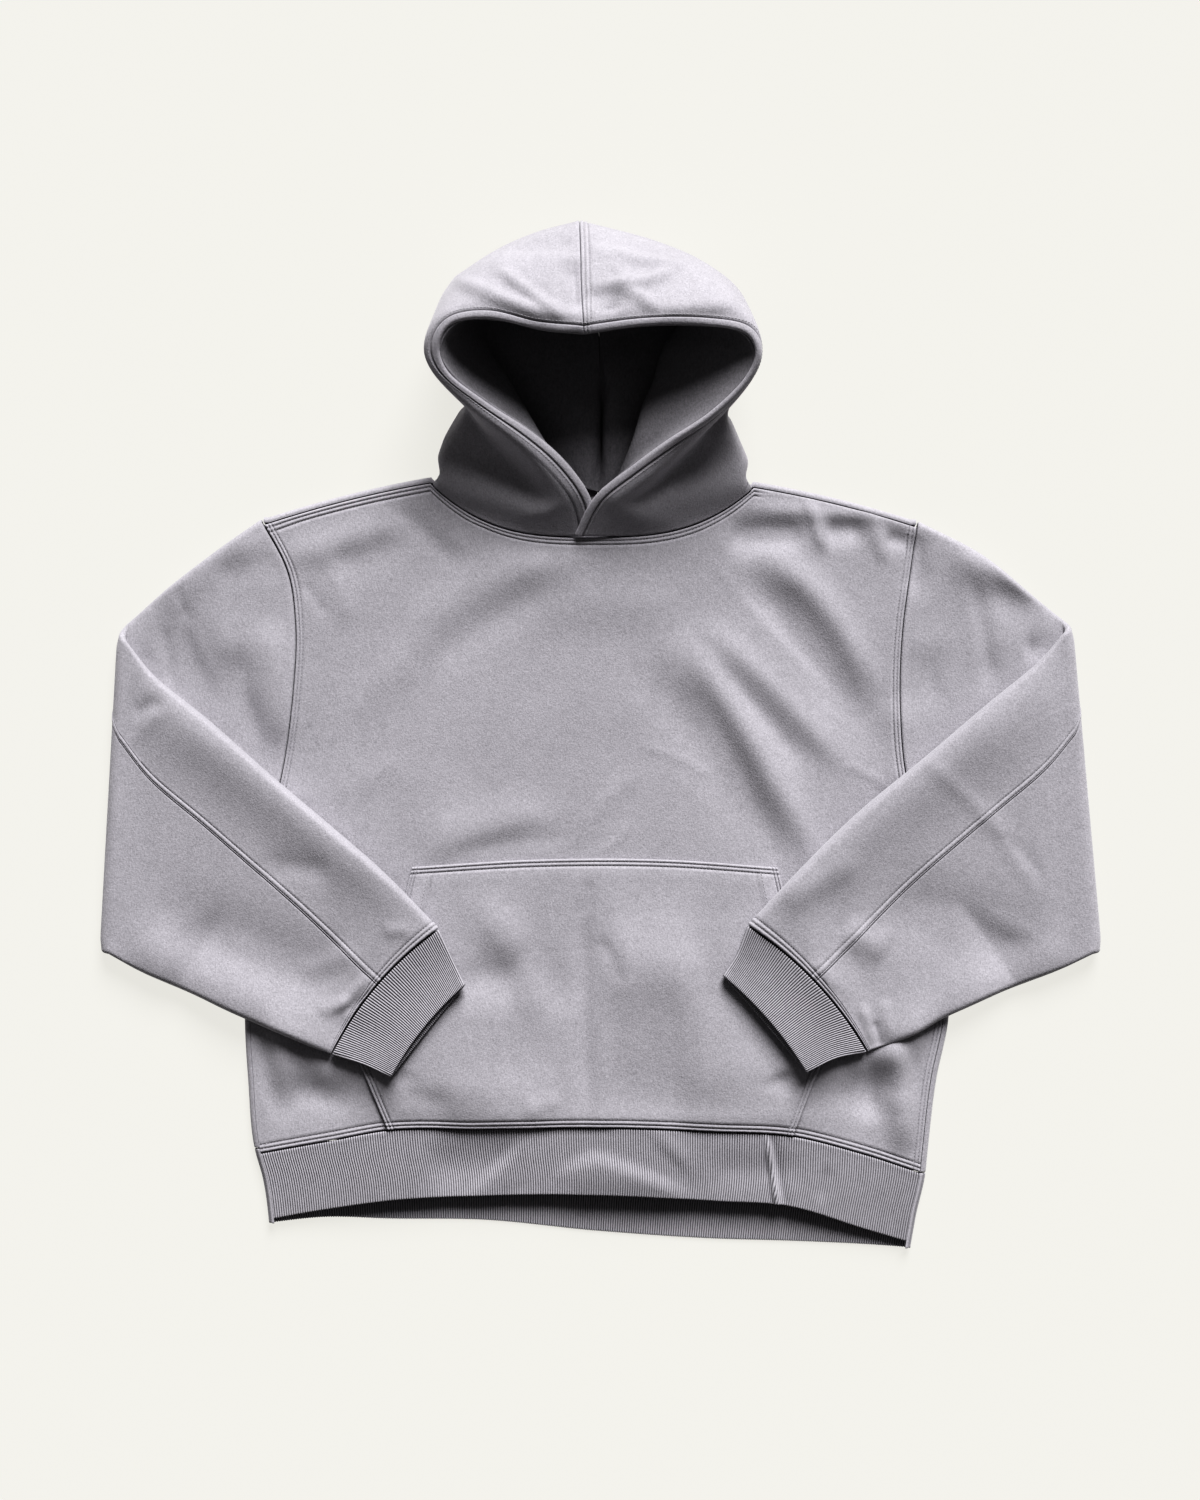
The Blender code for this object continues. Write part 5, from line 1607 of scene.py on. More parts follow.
def tube_ring(upper: Array, lower: Array) -> Array:
    """One ring of a flattened tube: over the upper layer and back under the lower one."""
    return np.vstack((upper, lower[1:-1][::-1]))


def layer_spread(places: Array, width: float, roll: float) -> Array:
    """How far apart the two layers are at each place, from 0 at the fold edges to 1."""
    edge = np.minimum(places, width - places)
    return np.sqrt(np.clip(1 - (1 - np.minimum(edge / roll, 1.0)) ** 2, 0.0, 1.0))


def line_points(top: Array, bottom: Array, places: Array) -> Array:
    """Plan of a ring: its places lie on the line from its upper to its lower fold edge."""
    ends = (bottom - top) / np.hypot(*(bottom - top))
    return top + ends * CLOTH / 2 + ends * places[:, None]


def inner_width(top: Array | Point, bottom: Array | Point) -> float:
    """Width of a ring between the middles of its fold edges."""
    return float(np.hypot(*(np.asarray(bottom, float) - np.asarray(top, float)))) - CLOTH


UPPER_ARM = {
    Side.LEFT: (
        ((-303.0, 194.0), (-307.0, -112.0), 1.0),
        ((-345.0, 164.5), (-352.0, -134.0), 0.45),
        ((-388.0, 131.5), (-400.0, -164.0), 0.12),
        ((-422.5, 101.5), (-439.5, -194.0), 0.0),
    ),
    Side.RIGHT: (
        ((285.0, 192.0), (299.0, -114.0), 1.0),
        ((339.0, 164.0), (352.0, -138.0), 0.45),
        ((383.0, 129.5), (400.0, -166.0), 0.12),
        ((413.5, 105.0), (441.0, -194.0), 0.0),
    ),
}
FOREARM = {
    Side.LEFT: (
        ((-424.5, 84.0), (-439.5, -196.0)),
        ((-398.0, 52.0), (-403.0, -216.0)),
        ((-350.0, 13.0), (-357.0, -236.0)),
        ((-292.0, -38.0), (-312.0, -256.0)),
        ((-236.0, -85.0), (-280.0, -269.0)),
        ((-190.0, -125.0), (-258.0, -278.0)),
        ((-144.0, -172.0), (-240.0, -284.0)),
    ),
    Side.RIGHT: (
        ((416.0, 92.0), (441.0, -196.0)),
        ((392.0, 65.0), (403.0, -214.0)),
        ((347.0, 28.0), (357.0, -232.0)),
        ((288.0, -22.0), (312.0, -251.0)),
        ((233.0, -67.0), (282.0, -267.0)),
        ((182.0, -116.0), (258.0, -276.0)),
        ((132.0, -169.0), (239.0, -282.0)),
    ),
}
CUFF = {
    Side.LEFT: (
        ((-143.3, -173.0), (-239.0, -285.0)),
        ((-131.0, -199.0), (-210.0, -294.0)),
        ((-120.0, -222.0), (-186.0, -304.0)),
    ),
    Side.RIGHT: (
        ((131.3, -170.0), (238.0, -283.0)),
        ((122.0, -194.0), (211.0, -288.0)),
        ((109.5, -214.0), (184.0, -300.0)),
    ),
}
CUFF_BOW = 9.0
# Distance from the underarm seam and relief there
UNDERARM_SEAM = (
    (-9.6, 0.0), (-7.4, 0.15), (-6.6, -0.6), (-5.8, 0.5), (-4.1, 0.6), (-2.4, 0.5), (-1.6, -0.5),
    (-0.9, 0.35), (-0.35, -0.5), (0.0, -1.2), (0.35, -0.6), (0.9, 0.0), (1.6, 0.05), (4.0, 0.0),
)


def between(stations: Sequence[Sequence], at: float) -> list[Array]:
    """Reads every column of a table of stations at a place counted in stations.

    Args:
        stations: rows of points and numbers.
        at: the place, 0 at the first station.

    Returns:
        One value for each column.
    """
    knots = np.arange(len(stations))
    return [spline(knots, column(stations, index), at) for index in range(len(stations[0]))]


def bow_back(side: Side, top: Array, bottom: Array, places: Array, amount: float) -> Array:
    """Moves of a ring's places towards the elbow in an arc, most in its middle.

    Args:
        side: the sleeve's side.
        top: the ring's upper fold edge.
        bottom: its lower one.
        places: distances from the upper edge.
        amount: how far its middle moves.

    Returns:
        The move of each place.
    """
    ends = (bottom - top) / np.hypot(*(bottom - top))
    back = np.array((ends[1], -ends[0])) * -side.sign
    share = places / inner_width(top, bottom)
    return back * (amount * 4 * share * (1 - share))[:, None]


def cuff_direction(side: Side) -> Array:
    """The way in which a cuff points.

    Args:
        side: the sleeve's side.

    Returns:
        A direction that isn't at length 1.
    """
    (top, bottom), (top_end, bottom_end) = CUFF[side][0], CUFF[side][-1]
    start = (np.array(top) + np.array(bottom)) / 2
    return np.append((np.array(top_end) + np.array(bottom_end)) / 2 - start, 0.0)


@dataclass
class Sleeve(SubAssembly):
    """One sleeve: a tube out from the armhole, over its fold and back in over the body."""

    side: Side
    step: float = 3.6
    upper_run: float = 140.0
    forearm_run: float = 330.0
    # Number of even steps on the two sides of the underarm seam, and where it is stitched
    evens: tuple[int, int] = (24, 36)
    stitched: Point = (-1.6, -6.6)
    crease_rings: int = 16
    crease_radius: float = 5.5
    lofts: tuple[float, ...] = (5.0, 6.4, 7.6, 8.4, 8.4, 7.6, 6.6)
    turn: float = 1.2
    cuff_bow_start: float = 3.0
    near_fold: tuple[float, ...] = (0.0, 0.25, 0.7, 1.4, 2.3, 3.5, 5.2, 7.6, 11.0, 15.5)
    upper_drape: float = 85.0
    soft_edge: Point = (3.6, 24.0)
    soft_low_edge: Point = (0.6, 5.0)
    corner: Point = (0.8, 14.0)
    lean: float = 7.0
    # Share of the width at which the underarm seam lies: at the armhole, on both sides of the
    # fold and at the cuff
    seam_shares: tuple[float, float, float, float] = (0.86, 0.265, 0.32, 0.5)
    cut: Cut = Cut(0.64, 0.6, 0.27)

    def places(self, width: float, seam_share: float) -> Array:
        """Distances from the upper fold edge at which the tube has its points.

        Args:
            width: the ring's width.
            seam_share: the share of it at which the underarm seam lies.

        Returns:
            The distances.
        """
        near = np.array(self.near_fold)
        seam = seam_share * width + np.array(column(UNDERARM_SEAM, 0))
        before = np.linspace(near[-1], seam[0], self.evens[0] + 1)[1:-1]
        after = np.linspace(seam[-1], width - near[-1], self.evens[1] + 1)[1:-1]
        return np.concatenate((near, before, seam, after, (width - near)[::-1]))

    def seam_column(self, columns: int, offset: float) -> int:
        """Number of the column at a distance from the underarm seam, on the uppermost layer."""
        inside = len(self.near_fold) + self.evens[0] - 1 + column(UNDERARM_SEAM, 0).index(offset)
        return 2 * ((columns + 2) // 2) - 2 - inside

    def upper_rings(self) -> list[Array]:
        """Rings of the upper arm, from the armhole to the fold.

        Returns:
            The rings.
        """
        stations = UPPER_ARM[self.side]
        (hole_top, hole_bottom, _), sign = stations[0], self.side.sign
        last = len(stations) - 1
        rings = []
        run = crowded(self.upper_run, self.step)[: -len(SEAM_OFFSETS) + 1]
        for at in run / self.upper_run * last:
            top, bottom, bow = between(stations, at)
            width = inner_width(top, bottom)
            places = self.places(width, float(np.interp(at / last, (0, 1), self.seam_shares[:2])))
            plan = line_points(top, bottom, places)
            hole_y = hole_top[1] + (hole_bottom[1] - hole_top[1]) * places / width
            straight = hole_top[0] + (hole_bottom[0] - hole_top[0]) * places / width
            plan[:, 0] += bow * (PLAN.edge(self.side, hole_y) - straight)
            plan[:, 0] += sign * ARMHOLE_SEAM / 2 * (1 - at / last)
            spread = layer_spread(places, width, ROLL)
            tuck = smoothstep(np.minimum(places, width - places) / ARMHOLE_TUCK)
            under = plan.copy()
            under[:, 0] -= sign * ARMHOLE_STEP * tuck * (1 - at / last)
            top_z = LAYERS.upper(plan[:, 0], plan[:, 1])
            top_z = top_z - self.sink(places, width) * smoothstep(at)
            middle_z, half = (top_z + FLOOR) / 2, (top_z - FLOOR) / 2 * spread
            upper = np.column_stack((plan, middle_z + half))
            rings.append(tube_ring(upper, np.column_stack((under, middle_z - half))))
        return rings

    def sink(self, places: Array, width: float) -> Array:
        """How far the upper layer sinks towards its upper and its lower fold edge.

        Args:
            places: distances from the upper fold edge.
            width: the ring's width.

        Returns:
            The depth at each place.
        """
        total = np.zeros(len(places))
        edges = ((places, self.soft_edge), (width - places, self.soft_low_edge))
        for inside, (depth, reach) in edges:
            total += depth * (1 - layer_spread(np.minimum(inside, reach), 2 * reach, reach))
        return total

    def turn_rings(self) -> list[Array]:
        """Rings over the fold, where the arm's lower layer goes round outside the upper one.

        Returns:
            The rings.
        """
        upper_top, upper_bottom, _ = UPPER_ARM[self.side][-1]
        fore_top, fore_bottom = FOREARM[self.side][0]
        loft = LAYERS.crease_loft
        rings = []
        for step in np.linspace(0.0, 1.0, self.crease_rings)[1:-1]:
            top = np.array(upper_top) * (1 - step) + np.array(fore_top) * step
            bottom = np.array(upper_bottom) * (1 - step) + np.array(fore_bottom) * step
            width = inner_width(top, bottom)
            share = np.interp(step, (0.5, 1.0), self.seam_shares[1:3])
            places = self.places(width, float(share))
            plan = line_points(top, bottom, places)
            spread = layer_spread(places, width, loft / 2)
            least, reach = self.corner
            corner = least + (1 - least) * smoothstep(np.minimum(places, width - places) / reach)
            out = np.array((self.side.sign, 0.0))
            found = []
            for layer in (-1, 1):
                radius = self.crease_radius + layer * loft / 2 * spread
                z = FLOOR + self.crease_radius + loft / 2 - radius * np.cos(pi * step)
                moved = plan + out * (corner * radius * np.sin(pi * step))[:, None]
                found.append(np.column_stack((moved, z)))
            rings.append(tube_ring(*found))
        return rings

    def forearm_rings(self) -> list[Array]:
        """Rings of the forearm, from the fold to the cuff.

        Returns:
            The rings.
        """
        stations = FOREARM[self.side]
        last = len(stations) - 1
        armpit, elbow = (UPPER_ARM[self.side][k][1] for k in (0, -1))
        rings = []
        run = crowded(self.forearm_run, self.step)[len(SEAM_OFFSETS) - 1 :]
        for at in (run - run[0]) / (run[-1] - run[0]) * last:
            top, bottom = between(stations, at)
            loft = float(spline(np.arange(last + 1), self.lofts, at))
            width = inner_width(top, bottom)
            places = self.places(width, float(np.interp(at / last, (0, 1), self.seam_shares[2:])))
            plan = line_points(top, bottom, places)
            bow = (at - self.cuff_bow_start) / (last - self.cuff_bow_start)
            plan += bow_back(self.side, top, bottom, places, CUFF_BOW * float(smoothstep(bow)))
            x, y = plan.T
            low = LAYERS.forearm_floor(self.side, armpit, elbow, x, y)
            turned = FLOOR + 2 * self.crease_radius
            low = low + (turned - low) * (1 - smoothstep(at / self.turn))
            spread = layer_spread(places, width, loft / 2)
            high = LAYERS.forearm_floor(self.side, armpit, elbow, x, y, self.upper_drape)
            bridged = np.maximum(high - low, 0.0) * float(smoothstep(at / self.turn))
            upper_z = low + loft / 2 + (loft / 2 + bridged) * spread
            shape = fold_height(x, y, FOREARM_CREASES) - self.sink(places, width)
            shape += self.lean * (0.5 - places / width)
            upper_z += shape * spread * float(smoothstep(at))
            lower_z = low + loft / 2 - loft / 2 * spread
            upper_z = at_least(upper_z, lower_z + (CLOTH + LAYER_GAP) * spread)
            lower = np.column_stack((plan, lower_z))
            rings.append(tube_ring(lower, np.column_stack((plan, upper_z))))
        return rings

    def seam_relief(self, rows: int, columns: int, start: int) -> Array:
        """Groove and raised strip of the underarm seam, on the layer that ends uppermost.

        Args:
            rows: number of rings.
            columns: number of points in a ring.
            start: the first ring on which the seam shows.

        Returns:
            The relief.
        """
        relief = np.zeros((rows, columns))
        for offset, value in UNDERARM_SEAM:
            relief[start:, self.seam_column(columns, offset)] = value
        return relief

    def build(self) -> None:
        """Builds the sleeve with its seams and stitches."""
        upper, fold, fore = self.upper_rings(), self.turn_rings(), self.forearm_rings()
        middle = np.array(upper + fold + fore)
        rows, columns = middle.shape[:2]
        seen_from = len(upper) + len(fold) // 2
        relief = self.seam_relief(rows, columns, seen_from)
        seam_lines = [self.seam_column(columns, offset) for offset in self.stitched]
        if self.side is Side.LEFT:
            middle, relief = middle[:, ::-1], relief[:, ::-1]
            seam_lines = [columns - 1 - index for index in seam_lines]
        name = self.side.value
        wall = Wall(
            f"sleeve_{name}_cloth", middle,
            edges={Edge.LOW: EdgeFinish.PLAIN, Edge.HIGH: EdgeFinish.STITCHED},
            square={Edge.LOW: X_AXIS, Edge.HIGH: cuff_direction(self.side)}, ring=True,
            relief=relief,
        )
        piece = wall.build()
        seen = slice(seen_from, -SECOND_STITCHES)
        lines = [wall.row_line(-1 - index) for index in (FIRST_STITCHES, SECOND_STITCHES)]
        lines += [wall.column_line(index, seen) for index in seam_lines]
        self.place(
            piece, f"sleeve_{name}", Slot.FLEECE, self.cut,
            ["back_panel", "front_panel", "pocket_panel"], held="folded",
            sewn=[self.sew(f"sleeve_{name}_stitches", lines)],
        )


@dataclass
class Cuff(SubAssembly):
    """A ribbed cuff, one tube."""

    side: Side
    loft: float = 6.6
    lift: float = 5.0
    dip: float = 2.4
    # How far the lower layer's free end shows past the upper one's, and how round it is
    reach: float = 4.5
    reach_round: float = 0.6
    clearance: float = 0.5
    pitch: float = 2.25
    rib: Rib = Rib()
    inner_share: float = 0.6
    points_per_rib: int = 8
    rows: int = 22
    ends: Point3 = (0.0, 0.007, 0.02)
    crowding: float = 0.2
    cut: Cut = Cut(0.27, 0.06, 0.0155)

    def ring(self, at: float, shares: Array) -> Array:
        """One ring of the cuff.

        Args:
            at: its place, counted in stations.
            shares: shares of its width.

        Returns:
            Its points.
        """
        stations = CUFF[self.side]
        end = at / (len(stations) - 1)
        top, bottom = between(stations, at)
        width = inner_width(top, bottom)
        places = width * shares
        plan = line_points(top, bottom, places)
        plan += bow_back(self.side, top, bottom, places, CUFF_BOW * (1 - end / 2))
        armpit, elbow = (UPPER_ARM[self.side][k][1] for k in (0, -1))
        low = LAYERS.forearm_floor(self.side, armpit, elbow, *plan.T) + self.clearance
        low = low + self.lift * end**2
        spread = layer_spread(places, width, self.loft / 2)
        half = self.loft / 2 * spread
        top_z = low + self.loft / 2 + half - self.dip * np.sin(pi * end) * spread
        further = cuff_direction(self.side)[:2] / np.linalg.norm(cuff_direction(self.side))
        reach = self.reach * end**3 * np.sin(pi * shares) ** self.reach_round
        lower = np.column_stack((plan + further * reach[:, None], low + self.loft / 2 - half))
        return tube_ring(lower, np.column_stack((plan, top_z)))

    def build(self) -> None:
        """Builds the cuff, then draws its ribs."""
        ribs = int(round(inner_width(*CUFF[self.side][0]) / self.pitch))
        even = np.linspace(0.0, 1.0, ribs * self.points_per_rib + 1)
        shares = even + self.crowding * ((1 - np.cos(pi * even)) / 2 - even)
        span = len(CUFF[self.side]) - 1.0
        ends = np.array(self.ends)
        inner = np.linspace(ends[-1], 1 - ends[-1], self.rows)[1:-1]
        rows = np.concatenate((ends, inner, 1 - ends[::-1])) * span
        middle = np.array([self.ring(at, shares) for at in rows])
        count = middle.shape[1]
        place = np.broadcast_to(np.arange(count) / self.points_per_rib, middle.shape[:2])
        ribbed = np.ones(middle.shape[:2])
        if self.side is Side.LEFT:
            middle, place = middle[:, ::-1], place[:, ::-1]
        axis = cuff_direction(self.side)
        name = self.side.value
        wall = Wall(
            f"cuff_{name}_cloth", middle, square={Edge.LOW: axis, Edge.HIGH: axis}, ring=True,
            relief=np.full(middle.shape[:2], self.rib.crest),
            marks={"place": (place, place), "ribbed": (ribbed, ribbed * self.inner_share)},
        )
        self.place(
            self.knit(wall, f"cuff_{name}_rib", self.rib), f"cuff_{name}", Slot.RIB, self.cut,
            ["front_panel", "pocket_panel"], held="folded",
        )


@dataclass
class Waistband(SubAssembly):
    """The ribbed waistband, a front and a back strip."""

    pitch: float = 2.2
    rib: Rib = Rib()
    # Share of the ribs' depth and of their painted groove shade on the front strip's inner and on the
    # back strip's outer face
    front_inner: float = 0.4
    back_outer: float = 0.5
    points_per_rib: int = 6
    row_run: float = 62.0
    row_step: float = 4.0
    front_cut: Cut = Cut(0.6, 0.063, 0.0375)
    back_cut: Cut = Cut(0.63, 0.071, 0.0445)

    def build(self) -> None:
        """Builds both strips."""
        self.build_front()
        self.build_back()

    def plan(self, kind: str, inset: float) -> tuple[Array, Array]:
        """Plan of a strip from its lower edge to its seam.

        Args:
            kind: front or back.
            inset: how far inside the body's edge it ends.

        Returns:
            The x and the y of its points.
        """
        width = PLAN.hem[-1][0] - PLAN.hem[0][0] - 2 * inset
        ribs = int(round(width / self.pitch))
        across = np.linspace(0.0, 1.0, ribs * self.points_per_rib + 1)
        up = crowded(self.row_run, self.row_step) / self.row_run

        def high(x: Array) -> Array:
            """The strip's seam."""
            if kind == "front":
                return PLAN.hem_line("seam", x) - SEAM / 2
            return PLAN.hem_line("back", x) + PLAN.band_height - SEAM / 2

        return panel_plan(
            across, up, lambda x: PLAN.hem_line(kind, x), high, lambda y: np.full_like(y, inset)
        )

    def build_front(self) -> None:
        """Builds the front strip."""
        x, y = self.plan("front", ROLL + CLOTH / 2 + SIDE_SEAM)
        shape = x.shape
        place = np.broadcast_to(np.arange(shape[1]) / self.points_per_rib + 0.5, shape)
        wall = Wall(
            "hem_front_cloth", np.stack((x, y, LAYERS.upper(x, y)), -1),
            edges={Edge.HIGH: EdgeFinish.PLAIN}, square=BAND_SQUARE, blunt=(Edge.START, Edge.END),
            relief=np.full(shape, self.rib.crest),
            marks={"place": (place, place), "ribbed": (np.ones(shape), np.full(shape, self.front_inner))},
        )
        piece = self.knit(wall, "hem_front_rib", self.rib)
        self.place(piece, "hem_front", Slot.RIB, self.front_cut, ["hem_back_rib"])

    def build_back(self) -> None:
        """Builds the back strip, flat on the floor and rolled round at the sides."""
        x, y = self.plan("back", ROLL + CLOTH / 2)
        middle = roll_sides(np.stack((x, y, np.full_like(x, FLOOR)), -1))
        shape = middle.shape[:2]
        place = (np.arange(shape[1]) - ROLL_STEPS) / self.points_per_rib + 0.5
        place = np.broadcast_to(place, shape)[:, ::-1]
        wall = Wall(
            "hem_back_cloth", middle[:, ::-1], square=BAND_SQUARE, blunt=(Edge.START, Edge.END),
            marks={"place": (place, place), "ribbed": (np.full(shape, self.back_outer), np.ones(shape))},
        )
        piece = self.knit(wall, "hem_back_rib", self.rib)
        self.place(piece, "hem_back", Slot.RIB, self.back_cut, [])


OUTER_HOOD = {
    Side.LEFT: (
        ((-3, 178, 19), (-36, 178, 19), (-85, 182, 19), (-152, 232, 9), (-136, 241, 1.2)),
        ((-12, 211, 40), (-29, 203, 38), (-62, 199, 30), (-142, 236, 20), (-123, 250, 1.2)),
        ((-34, 240, 57), (-48, 229, 54), (-71, 230, 32), (-134, 257, 27), (-117, 273, 1.2)),
        ((-63, 264, 70), (-74, 256, 68), (-96, 261, 42), (-124, 278, 36), (-110, 292, 1.2)),
        ((-101, 288, 82), (-117, 288, 80), (-115, 288, 52), (-119, 295, 38), (-101, 305, 1.2)),
        ((-134, 313, 95), (-145, 316, 92), (-135, 317, 60), (-130, 320, 36), (-108, 328, 1.2)),
        ((-142, 337, 105), (-151, 340, 98), (-144, 348, 64), (-137, 354, 36), (-117, 357, 1.2)),
        ((-128, 357, 111), (-136, 365, 104), (-137, 384, 72), (-131, 395, 40), (-113, 400, 1.2)),
        ((-95, 361, 114), (-98, 378, 108), (-104, 407, 80), (-100, 423, 42), (-86, 427, 1.2)),
        ((-53, 352, 113), (-57, 372, 110), (-63, 417, 82), (-61, 441, 46), (-50, 443, 1.2)),
    ),
    Side.RIGHT: (
        ((-20, 177, 22.5), (4, 177, 22.5), (54, 180, 20), (138, 226, 9), (122, 237, 1.2)),
        ((-2, 209, 44), (11, 201, 42), (44, 202, 32), (129, 233, 20), (112, 249, 1.2)),
        ((29, 233, 60), (40, 223, 54), (64, 232, 34), (123, 252, 27), (104, 269, 1.2)),
        ((63, 256, 72), (74, 252, 62), (89, 261, 42), (117, 269, 34), (99, 291, 1.2)),
        ((98, 278, 82), (107, 281, 70), (104, 285, 50), (112, 286, 38), (92, 301, 1.2)),
        ((128, 306, 94), (132, 311, 82), (127, 314, 60), (122, 318, 36), (99, 327, 1.2)),
        ((138, 330, 104), (139, 335, 94), (132, 343, 64), (126, 350, 36), (104, 353, 1.2)),
        ((126, 349, 110), (130, 360, 103), (126, 380, 72), (122, 389, 40), (103, 395, 1.2)),
        ((89, 355, 114), (98, 375, 108), (98, 400, 80), (94, 416, 42), (81, 420, 1.2)),
        ((39, 355, 114), (48, 374, 110), (54, 410, 82), (49, 435, 46), (36, 438, 1.2)),
    ),
}
OUTER_CROWN = ((-14, 348, 112), (-15, 371, 110), (-17, 423, 76), (-18, 453, 44), (-17, 451, 1.2))
OUTER_BACK = ((-3, 211), (-1, 229), (1, 255), (1, 280), (1, 303), (1, 328), (0, 353), (-3, 375),
              (-5, 389), (-6, 397), (-7, 402))
LINING_HOOD = {
    Side.LEFT: (
        ((-14, 204, 26), (-23, 214, 16), (-36, 225, 7), (-13, 221, 9)),
        ((-35, 234, 48), (-39, 239, 30), (-63, 247, 7), (-13, 241, 14)),
        ((-56, 259, 58), (-51, 260, 40), (-88, 268, 7), (-12, 264, 17)),
        ((-88, 283, 66), (-67, 290, 38), (-90, 295, 8), (-11, 289, 17)),
        ((-117, 306, 76), (-85, 318, 36), (-95, 326, 8), (-14, 311, 10)),
        ((-131, 329, 86), (-103, 345, 34), (-104, 348, 9), (-22, 340, 6)),
        ((-125, 359, 88), (-112, 371, 42), (-100, 380, 9), (-31, 364, 4.8)),
        ((-95, 377, 94), (-97, 402, 56), (-78, 410, 9), (-31, 387, 4.8)),
        ((-55, 373, 98), (-60, 416, 66), (-46, 428, 9), (-23, 405, 4.8)),
    ),
    Side.RIGHT: (
        ((5, 200, 26), (11, 215, 16), (32, 225, 7), (9, 221, 9)),
        ((26, 236, 46), (22, 239, 30), (57, 247, 7), (11, 241, 14)),
        ((50, 259, 56), (30, 261, 40), (80, 268, 7), (11, 264, 18)),
        ((78, 284, 66), (37, 288, 38), (80, 294, 8), (13, 290, 20)),
        ((105, 312, 76), (48, 313, 36), (85, 324, 8), (16, 314, 16)),
        ((122, 335, 86), (57, 342, 34), (90, 348, 9), (14, 338, 10)),
        ((118, 356, 88), (73, 366, 42), (88, 378, 9), (23, 360, 4.8)),
        ((90, 372, 94), (81, 397, 56), (70, 404, 9), (20, 384, 4.8)),
        ((43, 371, 98), (44, 411, 66), (32, 420, 9), (5, 403, 4.8)),
    ),
}
LINING_CROWN = ((-15, 371, 101), (-17, 420, 66), (-17, 434, 9), (-10, 414, 4.8))
LINING_BACK = ((-2, 218), (0, 238), (2, 261), (2, 287), (2, 310), (0, 337), (-1, 360), (-4, 380),
               (-5, 393), (-6, 400))


